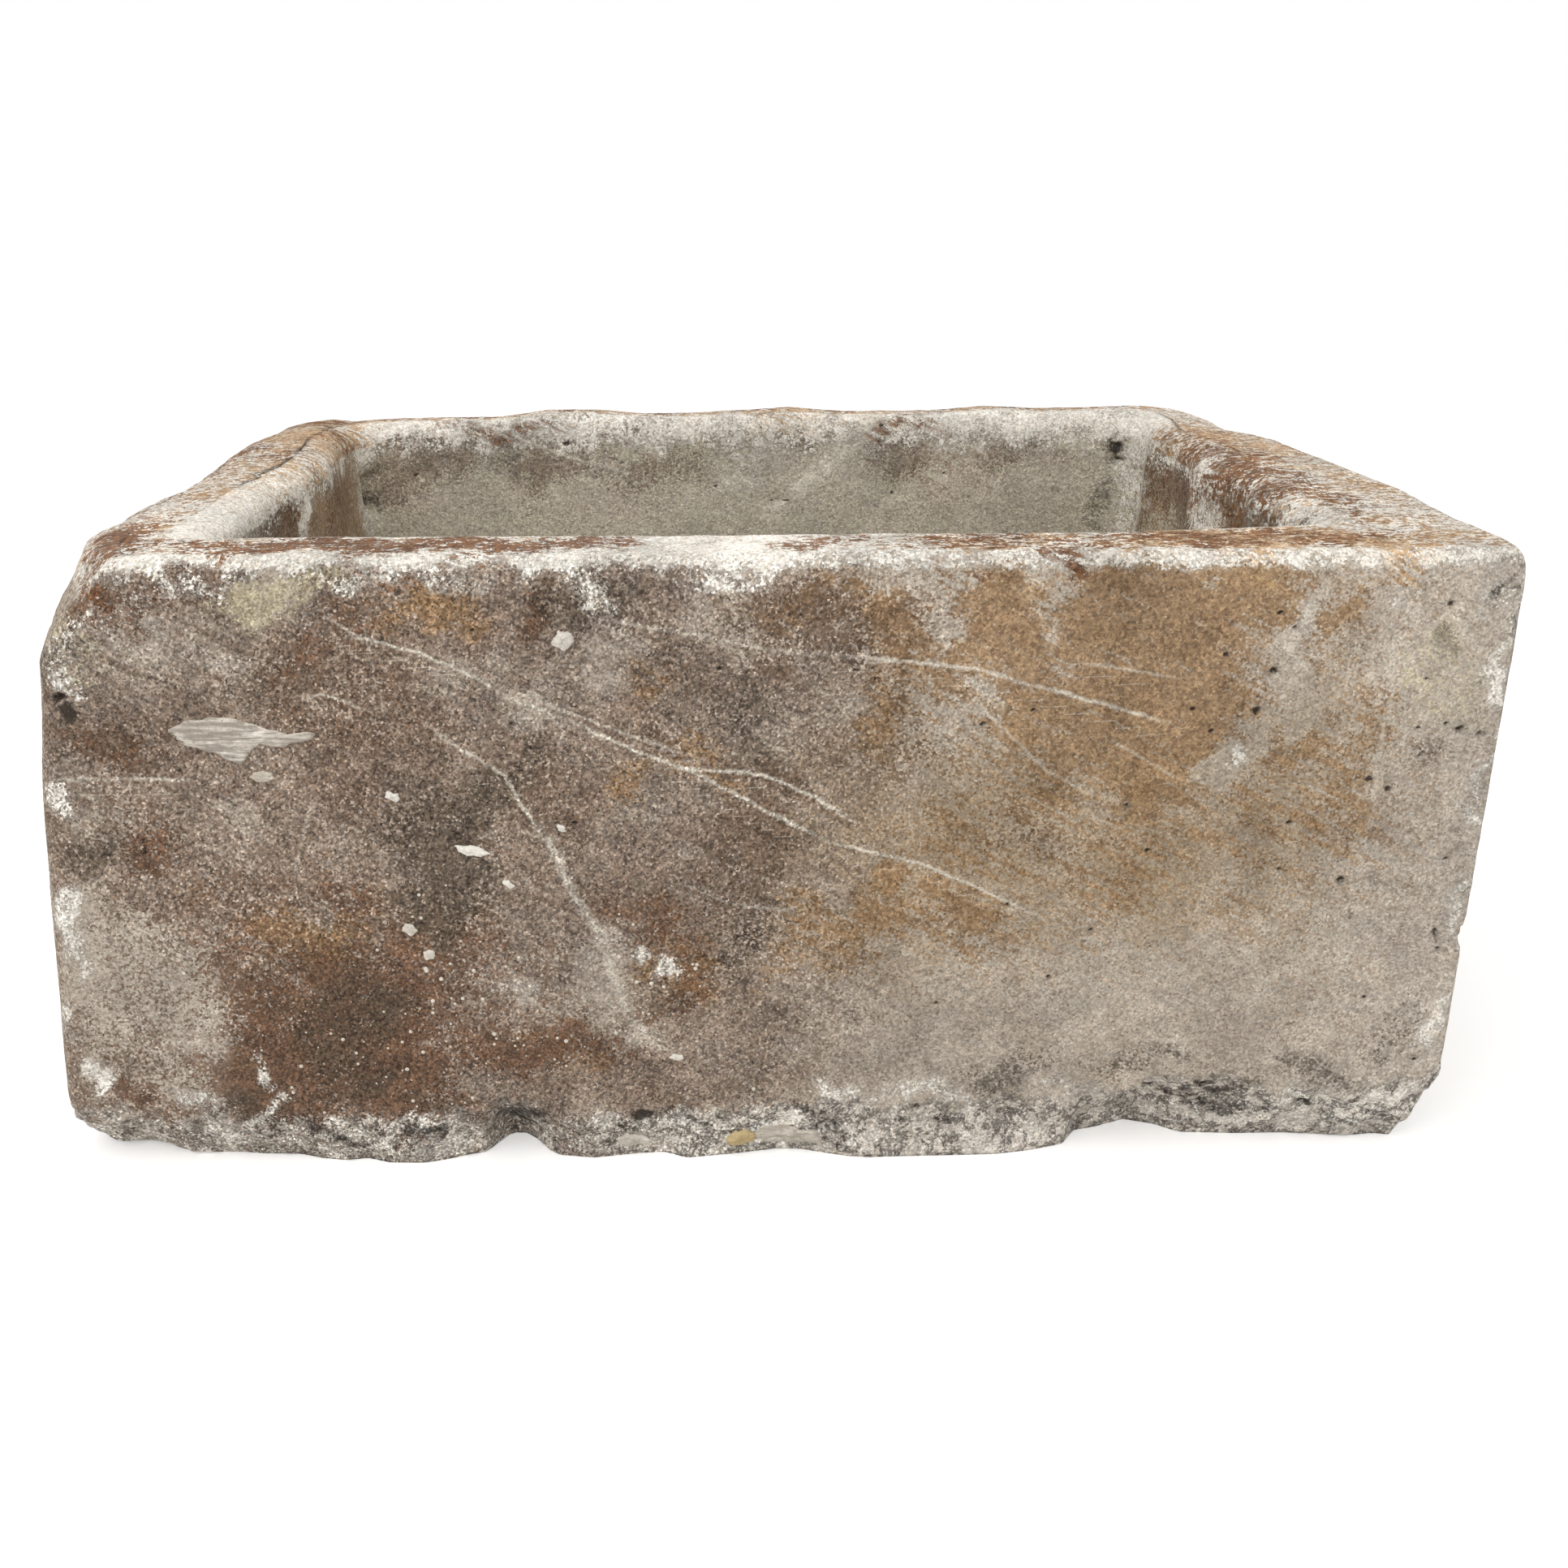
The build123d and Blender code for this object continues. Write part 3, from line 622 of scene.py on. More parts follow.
def paintStain(name, phase):
    x, y, z = np.moveaxis(grid, -1, 0)
    onFront = faces["front"][0]
    field = np.zeros(grid.shape[:2])
    for region, wash in washes.items():
        field += (rowNames == region) * wash.get(name, 0)
    field *= 1 - onFront
    # What the front has all over
    allOver = {
        "mauve": (0.14 + 0.8 * ease(150, -60, x)) * ease(490, 470, z),
        "rust": 0.1 + 0.12 * ease(0, -200, x),
        "ochre": 0.12 + 0.2 * ease(0, 200, x) * ease(540, 420, x) * ease(60, 240, z),
        "umber": 0.1 * ease(150, -50, x),
        "soot": 0.1 + 0.1 * ease(-100, -300, x),
        "lime": (1.05 - 0.1 * ease(-120, -20, x))
        * ease(473, 482, z + 2 * wobble(x, 90, 0.3) + 2 * wobble(x, 23, 1.0) + 3 * ease(-100, 0, x))
        + 0.35 * ease(56, 24, z),
        "bloom": 0.2 + 0.1 * ease(-100, 200, x) + 0.3 * ease(70, 30, z) + 0.9 * ease(380, 480, x),
    }
    field += onFront * allOver.get(name, 0)
    # Inside the basin the pale lip fades down into the green-grey of the walls
    lipDown = ease(482, 446, z + 9 * wobble(x + y, 83, 0.6) + 5 * wobble(x - y, 27, 0.2))
    within = {"lime": 0.9 - 0.8 * lipDown, "olive": lipDown, "umber": 0.36 - 0.12 * lipDown}
    if name in within:
        inner = np.isin(rowNames, ["lip", "basin"])
        field = np.where(inner, within[name] * (1 - onFront), field)
    for face, patches in stains.get(name, {}).items():
        weight, across, up = faces[face]
        # Every stain's patches wander in their own way
        here, above = grid[..., across], grid[..., up]
        for length, reach in wanders:
            aside, over = here * 6.28 / length, above * 6.28 / length
            here, above = (
                here + reach * np.sin(over + 1.3 * phase + 1.1 * np.sin(here / length + phase)),
                above + reach * np.sin(aside + 2.1 * phase + 1.3 * np.sin(above / length)),
            )
        for centreAcross, centreUp, halfWidth, halfHeight, amount, *turn in patches:
            angle = np.radians(turn[0] if turn else 0)
            aside, over = here - centreAcross, above - centreUp
            distance = ((aside * np.cos(angle) + over * np.sin(angle)) / halfWidth) ** 2
            distance = distance + ((over * np.cos(angle) - aside * np.sin(angle)) / halfHeight) ** 2
            field += weight * amount * np.exp(-distance * (0.35 + 0.35 * distance))
    return np.clip(field, -0.3, 1.3)


# Veins and scratches, in two sets so that lines that meet keep their own distances.
# Each line: face, half width, strength, and its points.
veinSets = {
    "vein": [
        ("front", 1.4, 0.7, [(-228, 358), (-199, 337), (-182, 325), (-174, 308), (-157, 279)]),
        ("front", 3.2, 0.62, [(-157, 279), (-145, 258), (-137, 233), (-124, 208), (-112, 190)]),
        ("front", 3.0, 0.6, [(-112, 190), (-108, 160), (-98, 130), (-80, 108)]),
        ("front", 1.2, 0.7, [(-295, 442), (-278, 429), (-237, 417), (-212, 406), (-170, 381), (-137, 367)]),
        ("front", 1.4, 0.86, [(-137, 367), (-103, 350), (-70, 335), (-45, 325), (0, 298), (50, 271)]),
        ("front", 1.2, 0.7, [(50, 271), (121, 252), (175, 225), (208, 208)]),
        ("front", 1.3, 0.47, [(-107, 440), (-74, 433), (-37, 427), (0, 418), (46, 413)]),
        ("front", 1.4, 0.78, [(46, 413), (100, 408), (150, 402), (183, 392), (250, 373), (292, 360)]),
        ("front", 1.2, 0.39, [(150, 379), (180, 350), (204, 325), (250, 300)]),
        ("front", 1.4, 0.55, [(-495, 325), (-450, 326), (-403, 324)]),
        ("front", 1.2, 0.31, [(-320, 308), (-328, 280), (-337, 250)]),
        ("front", 1.8, 0.47, [(444, 418), (447, 380), (444, 330), (447, 285)]),
        ("backWall", 8.0, 1.2, [(150, 488), (110, 450), (62, 412)]),
        ("backWall", 1.6, 0.7, [(-235, 472), (-180, 452), (-110, 432)]),
        ("leftWall", 2.4, 0.8, [(-15, 484), (-12, 450), (-16, 410), (-10, 360)]),
    ],
    "sideVein": [
        ("front", 1.3, 0.78, [(-57, 329), (-28, 327), (0, 324), (37, 308), (67, 287)]),
        ("front", 1.2, 0.47, [(-199, 400), (-170, 388), (-137, 373), (-95, 356), (-45, 337)]),
        ("front", 1.1, 0.39, [(-318, 383), (-305, 388), (-274, 375)]),
        ("front", 1.1, 0.31, [(-272, 437), (-268, 400), (-262, 367)]),
        ("front", 1.2, 0.39, [(217, 406), (250, 402), (292, 394)]),
        ("front", 1.1, 0.31, [(250, 348), (280, 330), (300, 318)]),
        ("front", 1.2, 0.39, [(392, 312), (415, 302), (437, 288)]),
        ("front", 1.1, 0.31, [(-60, 240), (-20, 222), (30, 214)]),
        ("front", 1.0, 0.31, [(150, 402), (166, 380), (172, 350)]),
    ],
}


def paintVeins(lines):
    # How far each point lies from the nearest vein, in half widths and with its side as the sign
    farAway = 9.0
    offset, strength = np.full(grid.shape[:2], farAway), np.zeros(grid.shape[:2])
    for face, halfWidth, amount, line in lines:
        weight, across, up = faces[face]
        here = np.stack([grid[..., across], grid[..., up]], -1)
        nearest, signed, share = np.full((3, *offset.shape), outOfReach)
        for index, (start, end) in enumerate(zip(line[:-1], line[1:])):
            start, end = np.array(start, float), np.array(end, float)
            run = end - start
            along = np.clip((here - start) @ run / (run @ run), 0, 1)
            away = here - (start + along[..., None] * run)
            distance = np.linalg.norm(away, axis=-1)
            side = np.sign(run[0] * away[..., 1] - run[1] * away[..., 0])
            closer = distance < nearest
            nearest = np.where(closer, distance, nearest)
            signed = np.where(closer, side * distance, signed)
            share = np.where(closer, (index + along) / (len(line) - 1), share)
        taken = (weight > 0.5) & (np.abs(signed) / halfWidth < np.abs(offset))
        offset = np.where(taken, signed / halfWidth, offset)
        fade = ease(0, 0.12, share) * ease(1, 0.88, share)
        strength = np.where(taken, amount * (0.35 + 0.65 * fade), strength)
    return np.clip(offset, -farAway, farAway), strength


# How strongly the weathering moves each part of the surface
reliefShares = {
    "wall": 0.55, "arris": 1.0, "rim": 0.9, "lip": 1.0, "basin": 0.6, "floorTurn": 0.6, "floor": 0.5,
    "drain": 0.2, "under": 0.0,
}


def gridObject(name, points, fields):
    rows, columns = points.shape[:2]
    index = np.arange(rows * columns).reshape(rows, columns)
    right, above = np.roll(index, -1, 1), np.roll(index, -1, 0)
    quads = np.stack([index, right, np.roll(above, -1, 1), above], -1).reshape(-1, 4)
    mesh = bpy.data.meshes.new(name)
    mesh.from_pydata((points.reshape(-1, 3) * mm).tolist(), [], quads.tolist())
    for label, field in fields.items():
        addField(mesh, label, field.astype(np.float32).ravel())
    mesh.update()
    return addObject(name, mesh)


def finishNodes(source, tree, values, name):
    # Runs a node tree on an object and leaves the result as a plain mesh
    modifier = source.modifiers.new(tree.name, "NODES")
    modifier.node_group = tree
    for item in tree.interface.items_tree:
        if item.in_out == "INPUT" and item.name in values:
            modifier[item.identifier] = values[item.name]
    graph = bpy.context.evaluated_depsgraph_get()
    mesh = bpy.data.meshes.new_from_object(source.evaluated_get(graph), depsgraph=graph)
    source.modifiers.remove(modifier)
    return addObject(name, mesh)


def newTree(name, inputs):
    tree = bpy.data.node_groups.new(name, "GeometryNodeTree")
    tree.interface.new_socket(name="Geometry", in_out="INPUT", socket_type="NodeSocketGeometry")
    for label, kind in inputs.items():
        tree.interface.new_socket(name=label, in_out="INPUT", socket_type="NodeSocket" + kind)
    tree.interface.new_socket(name="Geometry", in_out="OUTPUT", socket_type="NodeSocketGeometry")
    return tree, tree.nodes.new("NodeGroupInput").outputs


def endTree(tree, geometry, material):
    # Ends a tree in real geometry, shaded smooth and in its material
    for kind, more in (
        ("GeometryNodeRealizeInstances", {}), ("GeometryNodeSetShadeSmooth", {}),
        ("GeometryNodeSetMaterial", {"Material": material}),
    ):
        geometry = addNode(tree, kind, {"Geometry": geometry, **more})
    addNode(tree, "NodeGroupOutput", {0: geometry})


# Weathering in millimetres: the depth and size of each kind of relief
weathering = {
    "Hollow Depth": 1.6, "Hollow Size": 130.0,
    "Wear Depth": 1.3, "Wear Size": 34.0,
    "Grain Depth": 0.9, "Grain Size": 11.0,
    "Break Depth": 8.0, "Break Size": 26.0,
    "Seed": 4.0,
}


def weatheringTree():
    kinds = {label: "Float" for label in weathering}
    tree, given = newTree("stoneWeathering", {**kinds, "Stone": "Material"})
    place = addNode(tree, "GeometryNodeInputPosition", {})
    normal = addNode(tree, "GeometryNodeInputNormal", {})
    relief, torn = (
        addNode(tree, "GeometryNodeInputNamedAttribute", {"Name": name}, data_type="FLOAT")
        for name in ("relief", "broken")
    )
    push = 0.0
    for label, roughness, share in (
        ("Hollow", 0.4, relief), ("Wear", 0.5, relief), ("Grain", 0.5, relief), ("Break", 0.62, torn),
    ):
        size, depth = given[label + " Size"], given[label + " Depth"]
        scale = addNode(tree, "ShaderNodeMath", {0: 1 / mm, 1: size}, operation="DIVIDE")
        noise = addNode(
            tree, "ShaderNodeTexNoise",
            {"Vector": place, "W": given["Seed"], "Scale": scale, "Detail": 2.0, "Roughness": roughness},
            noise_dimensions="4D",
        )
        # The noise runs from 0 to 1: centred and doubled, it moves the surface by the depth both ways
        depth = addNode(tree, "ShaderNodeMath", {0: depth, 1: 2 * mm}, operation="MULTIPLY")
        centred = addNode(tree, "ShaderNodeMath", {0: noise, 1: -0.5}, operation="ADD")
        height = addNode(tree, "ShaderNodeMath", {0: centred, 1: depth}, operation="MULTIPLY")
        push = addNode(tree, "ShaderNodeMath", {0: height, 1: share, 2: push}, operation="MULTIPLY_ADD")
    offset = addNode(tree, "ShaderNodeVectorMath", {0: normal, "Scale": push}, operation="SCALE")
    moved = addNode(tree, "GeometryNodeSetPosition", {"Geometry": given["Geometry"], "Offset": offset})
    endTree(tree, moved, given["Stone"])
    return tree


# Materials

stainLayers = [
    # attribute, darker and paler tone, how far broad noise, fine noise and grains move its edge,
    # how soft the edge is, opacity
    ("olive", "#bdb59f", "#e3dbc8", 0.8, 0.5, 0.4, 0.3, 1.0),
    ("mauve", "#513f37", "#a59280", 2.5, 1.8, 1.5, 0.3, 0.9),
    ("bloom", "#aea295", "#dbd1c3", 2.6, 3.0, 1.5, 0.4, 0.75),
    ("honey", "#927c60", "#b9a383", 1.4, 1.0, 0.9, 1.1, 0.75),
    ("ochre", "#70502e", "#b8966d", 2.4, 2.6, 1.4, 0.5, 0.86),
    ("umber", "#46362a", "#826b57", 2.6, 1.8, 1.5, 0.42, 0.78),
    ("rust", "#38241a", "#8a664c", 2.8, 2.2, 1.6, 0.4, 0.85),
    ("soot", "#2f2821", "#6d6050", 2.6, 1.8, 1.5, 0.42, 0.76),
    ("break", "#a69a8e", "#fbf3e7", 2.6, 2.2, 1.0, 0.3, 0.88),
    ("lichen", "#a99a78", "#e6dcbc", 3.0, 2.8, 2.2, 0.3, 0.66),
    ("lime", "#e0d6c7", "#fffbf2", 3.2, 2.8, 1.6, 0.22, 0.95),
    ("tan", "#946c42", "#dcb88a", 3.2, 3.4, 1.4, 0.15, 0.85),
    ("flake", "#4a2a19", "#9b6d48", 2.8, 3.8, 1.6, 0.16, 0.94),
]
brushedStains = ("ochre", "bloom", "tan", "flake")
# Size in millimetres, detail, roughness and seed
stoneNoise = {
    "broad": (75, 9.0, 0.76, 1.0), "middle": (32, 8.0, 0.76, 7.0), "fine": (9, 5.0, 0.78, 3.0),
    "dust": (3.2, 2.0, 0.8, 5.0),
}
grainSizes = {"grain": 2.4, "sand": 1.5}
stoneColours = {
    "dark": "#ac9f8f", "pale": "#d3c8b9", "soaked": "#a8978a", "vein": "#e2dacb",
    # The darkest colour is dirt with painted shade, for the pits and breaks
    "crack": "#453b33", "dirt": "#332b24",
}
stoneLook = {
    "bump": {"Strength": 0.9, "Distance": 1.6 * mm},
    "surface": {"Roughness": 0.92, "Specular IOR Level": 0.25},
}


def endMaterial(tree, base, layers, height, look):
    # Lays the layers over the base colour in order: how much of each, its colour and how it mixes
    colour = linear(base)
    for share, tint, how in layers:
        mixed = {0: share, 6: colour, 7: tint}
        colour = addNode(tree, "ShaderNodeMix", mixed, data_type="RGBA", blend_type=how).outputs[2]
    bump = addNode(tree, "ShaderNodeBump", {"Height": height, **look["bump"]})
    surface = {"Base Color": colour, "Normal": bump, **look["surface"]}
    surface = addNode(tree, "ShaderNodeBsdfPrincipled", surface)
    addNode(tree, "ShaderNodeOutputMaterial", {0: surface})


def weatheredLimestone():
    # Hewn limestone left outdoors: sandy grains, each stained or not, under patches with ragged edges
    material = bpy.data.materials.new("weatheredLimestone")
    tree = emptyTree(material)
    place = addNode(tree, "ShaderNodeTexCoord", {}).outputs["Object"]
    noise = {
        name: addNode(tree, "ShaderNodeTexVoronoi", {"Vector": place, "Scale": 1 / (size * mm)})
        for name, size in grainSizes.items()
    }
    for name, (size, detail, rough, seed) in stoneNoise.items():
        noise[name] = addNode(
            tree, "ShaderNodeTexNoise",
            {"Vector": place, "W": seed, "Scale": 1 / (size * mm), "Detail": detail, "Roughness": rough},
            noise_dimensions="4D",
        )
    for name, texture in noise.items():
        noise[name] = addNode(tree, "ShaderNodeSeparateColor", {0: texture.outputs["Color"]}).outputs
    painted = {
        name: addNode(tree, "ShaderNodeAttribute", {}, attribute_name=name).outputs["Fac"]
        for name in [row[0] for row in stainLayers] + ["grime", "tooling"]
        + [label + part for label in veinSets for part in ("Offset", "Strength")]
    }
    # Strokes that run down to the right: some stains were brushed along them, and the mason's tool too
    slanted = addNode(tree, "ShaderNodeMapping", {0: place, "Rotation": (0, -0.47, 0)})
    drawnOut = addNode(tree, "ShaderNodeMapping", {0: slanted, "Scale": (0.1, 1, 1)})
    strokes = {"Vector": drawnOut, "Scale": 1 / (4.5 * mm), "Detail": 4.0}
    strokes = addNode(tree, "ShaderNodeTexNoise", strokes)
    dither = addNode(tree, "ShaderNodeMath", {0: noise["grain"][1], 1: noise["sand"][1]}, operation="ADD")
    # What lies over the dark stone. Under the brown film the stone itself is darker and pinker.
    bare = addNode(tree, "ShaderNodeMapRange", {0: noise["middle"][0], 1: 0.3, 2: 0.7})
    soaked = addNode(tree, "ShaderNodeMapRange", {0: painted["mauve"], 1: 0.2, 2: 1.0, 4: 0.6})
    layers = [
        (bare, linear(stoneColours["pale"]), "MIX"), (soaked, linear(stoneColours["soaked"]), "MIX"),
    ]
    masks = {}
    for index, (name, dark, pale, byBroad, byFine, byGrain, softness, opacity) in enumerate(stainLayers):
        wide = noise["broad" if index % 2 else "middle"][(index // 2) % 3]
        narrow = strokes if name in brushedStains else noise["fine"][(index + 1) % 3]
        edge, level = painted[name], 0.5
        pushes = ((wide, byBroad, 0.5), (narrow, byFine, 0.5), (dither, byGrain / 2, 1.0))
        for source, amount, middle in pushes:
            edge = {0: source, 1: amount, 2: edge}
            edge = addNode(tree, "ShaderNodeMath", edge, operation="MULTIPLY_ADD")
            level += amount * middle
        mask = addNode(
            tree, "ShaderNodeMapRange", {0: edge, 1: level - softness, 2: level + softness, 4: opacity},
            interpolation_type="SMOOTHSTEP",
        )
        present = addNode(tree, "ShaderNodeMapRange", {0: painted[name], 1: 0.03, 2: 0.4})
        masks[name] = addNode(tree, "ShaderNodeMath", {0: mask, 1: present}, operation="MULTIPLY")
        mixed = noise["grain"][(index + 1) % 3]
        for source in (noise["fine"][index % 3], noise["middle"][(index + 2) % 3]):
            mixed = addNode(tree, "ShaderNodeMath", {0: source, 1: 2.2, 2: mixed}, operation="MULTIPLY_ADD")
        tone = addNode(tree, "ShaderNodeMapRange", {0: mixed, 1: 2.0, 2: 3.4})
        stain = {0: tone, 6: linear(dark), 7: linear(pale)}
        stain = addNode(tree, "ShaderNodeMix", stain, data_type="RGBA").outputs[2]
        layers.append((masks[name], stain, "MIX"))
    # Veins: pale lines of harder stone that come and go
    wander = addNode(tree, "ShaderNodeMath", {0: noise["fine"][0], 1: -0.5}, operation="ADD")
    coming = {0: noise["middle"][1], 1: 0.42, 2: 0.54, 3: 0.4, 4: 1.0}
    coming = addNode(tree, "ShaderNodeMapRange", coming)
    for label in veinSets:
        away = {0: wander, 1: 6.0, 2: painted[label + "Offset"]}
        away = addNode(tree, "ShaderNodeMath", away, operation="MULTIPLY_ADD")
        away = addNode(tree, "ShaderNodeMath", {0: away}, operation="ABSOLUTE")
        line = addNode(tree, "ShaderNodeMapRange", {0: away, 1: 1.6, 2: 0.3})
        for share in (painted[label + "Strength"], coming):
            line = addNode(tree, "ShaderNodeMath", {0: line, 1: share}, operation="MULTIPLY")
        layers.append((line, linear(stoneColours["vein"]), "MIX"))
    # Tool marks, then the grain of the sand, stronger where the brown film lies, and broad clouds
    stroke, speckle, film, cloudy = (
        addNode(tree, "ShaderNodeMapRange", {0: source, 1: low, 2: high, 3: darkest, 4: palest})
        for source, low, high, darkest, palest in (
            (strokes, 0.36, 0.64, 0.86, 1.1), (noise["sand"][0], 0.0, 1.0, 0.72, 1.3),
            (noise["sand"][2], 0.0, 1.0, 0.46, 1.58), (noise["broad"][2], 0.36, 0.64, 0.76, 1.24),
        )
    )
    layers += [
        (painted["tooling"], stroke, "MULTIPLY"), (1.0, speckle, "MULTIPLY"),
        (painted["mauve"], film, "MULTIPLY"), (1.0, cloudy, "MULTIPLY"),
    ]
    # Cracks where the foot broke away, and dirt with painted shade darkening the pits and breaks
    ridge = addNode(tree, "ShaderNodeMath", {0: noise["middle"][2], 1: -0.5}, operation="ADD")
    ridge = addNode(tree, "ShaderNodeMath", {0: ridge}, operation="ABSOLUTE")
    crack = addNode(tree, "ShaderNodeMapRange", {0: ridge, 1: 0.02, 2: 0.004, 4: 0.5})
    crack = addNode(tree, "ShaderNodeMath", {0: crack, 1: painted["break"]}, operation="MULTIPLY")
    dirt = {0: noise["fine"][1], 1: 3.0, 2: painted["grime"]}
    dirt = {0: addNode(tree, "ShaderNodeMath", dirt, operation="MULTIPLY_ADD"), 1: 1.75, 2: 2.3, 4: 0.88}
    dirt = addNode(tree, "ShaderNodeMapRange", dirt, interpolation_type="SMOOTHSTEP")
    layers += [
        (crack, linear(stoneColours["crack"]), "MIX"), (dirt, linear(stoneColours["dirt"]), "MIX"),
    ]
    tooled = addNode(tree, "ShaderNodeMath", {0: stroke, 1: painted["tooling"]}, operation="MULTIPLY")
    height = noise["dust"][2]
    for source, amount in (
        (noise["fine"][2], 2.6), (noise["grain"][2], 0.35), (masks["lime"], 0.5), (masks["flake"], -0.6),
        (crack, -2.5), (tooled, 1.6),
    ):
        height = {0: source, 1: amount, 2: height}
        height = addNode(tree, "ShaderNodeMath", height, operation="MULTIPLY_ADD")
    endMaterial(tree, stoneColours["dark"], layers, height, stoneLook)
    return material


# Size in millimetres, detail and seed, and whether it is drawn out along the brush
mortarNoise = {
    "grain": (2.2, 3.0, 2.0, False), "patch": (14, 5.0, 9.0, False), "streak": (2.2, 4.0, 4.0, True),
}
mortarColours = {
    "dark": "#ab9f90", "pale": "#eee6d9", "streak": "#83766a", "white": "#f4efe4", "yellow": "#c9b07a",
    "spot": "#6b5f52",
}
mortarLook = {
    "bump": {"Strength": 0.7, "Distance": 1.2 * mm},
    "surface": {"Roughness": 0.95, "Specular IOR Level": 0.2},
}


def limeMortar():
    # Old lime mortar: chalky, nearly white, with sand grains and brushed streaks
    material = bpy.data.materials.new("limeMortar")
    tree = emptyTree(material)
    place = addNode(tree, "ShaderNodeTexCoord", {}).outputs["Object"]
    brushed = {0: place, "Rotation": (0, 0.26, 0), "Scale": (0.08, 1, 1)}
    brushed = addNode(tree, "ShaderNodeMapping", brushed)
    noise = {}
    for name, (size, detail, seed, drawnOut) in mortarNoise.items():
        where = {"Vector": brushed if drawnOut else place, "W": seed, "Scale": 1 / (size * mm)}
        texture = addNode(
            tree, "ShaderNodeTexNoise", {**where, "Detail": detail, "Roughness": 0.68},
            noise_dimensions="4D",
        )
        noise[name] = addNode(tree, "ShaderNodeSeparateColor", {0: texture.outputs["Color"]}).outputs
    painted = {
        name: addNode(tree, "ShaderNodeAttribute", {}, attribute_name=name).outputs["Fac"]
        for name in ("brushing", "whiteness", "yellowing")
    }
    tone, streaks, spots, sandy = (
        addNode(tree, "ShaderNodeMapRange", {0: source, 1: low, 2: high, 3: least, 4: most})
        for source, low, high, least, most in (
            (noise["patch"][0], 0.35, 0.65, 0.0, 1.0), (noise["streak"][0], 0.42, 0.56, 0.0, 1.0),
            (noise["grain"][0], 0.6, 0.7, 0.0, 0.8), (noise["grain"][1], 0.25, 0.75, 0.8, 1.12),
        )
    )
    streaks, spots = (
        addNode(tree, "ShaderNodeMath", {0: mark, 1: painted["brushing"]}, operation="MULTIPLY")
        for mark in (streaks, spots)
    )
    shares = {
        "pale": tone, "streak": streaks, "white": painted["whiteness"], "yellow": painted["yellowing"],
        "spot": spots,
    }
    layers = [(share, linear(mortarColours[name]), "MIX") for name, share in shares.items()]
    layers.append((1.0, sandy, "MULTIPLY"))
    endMaterial(tree, mortarColours["dark"], layers, noise["grain"][2], mortarLook)
    return material


painting = [name for name, *_ in stainLayers] + ["grime", "specks", "tooling"]
fields = {name: paintStain(name, phase) for phase, name in enumerate(painting)}
# Every pit is darkened at its centre: dirt with painted shade
fields["grime"] = np.maximum(fields["grime"], pitted * 1.2)
fields["specks"] = np.clip(fields["specks"], 0, 1)
for label, lines in veinSets.items():
    fields[label + "Offset"], fields[label + "Strength"] = paintVeins(lines)
along, height = grid[..., 0], grid[..., 2]
fields["break"] = broken * (0.5 + 0.25 * wobble(along, 63, 0.7) + 0.65 * ease(-150, 0, along))
fields["broken"] = broken * ease(0, 5, height)
relief = sum((rowNames == region) * share for region, share in reliefShares.items())
fields["relief"] = relief * ease(0, 12, height)
rawStone = gridObject("rawStone", grid, fields)
stone = finishNodes(
    rawStone, weatheringTree(), {**weathering, "Stone": weatheredLimestone()}, "trough_stone"
)
bpy.data.objects.remove(rawStone)
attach(stone, "root")
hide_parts("trough_block")
print("stone weathered,", len(stone.data.polygons) * 2, "triangles")

# Mortar and lime on the front

mortar = limeMortar()
stoneTree = BVHTree.FromObject(stone, bpy.context.evaluated_depsgraph_get())


def stoneSurface(x, z):
    # Where the front's real surface lies behind a place on it
    hit = stoneTree.ray_cast(Vector((x * mm, 2 * frontFace * mm, z * mm)), Vector((0, 1, 0)))[0]
    return hit.y / mm if hit else frontFace


def smoothLoop(points, count):
    # A closed Catmull-Rom line through the points
    points = np.array(points, float)
    where = np.arange(count) / count * len(points)
    index, t = where.astype(int), (where % 1)[:, None]
    p = [points[(index + step) % len(points)] for step in (-1, 0, 1, 2)]
    return 0.5 * (
        2 * p[1] + (p[2] - p[0]) * t + (2 * p[0] - 5 * p[1] + 4 * p[2] - p[3]) * t**2
        + (3 * p[1] - p[0] - 3 * p[2] + p[3]) * t**3
    )


crustShape = {
    "columns": 72, "rings": 9, "sunk": 1.5, "edge": 0.3, "raggedness": 0.06, "lumpiness": 0.22,
}


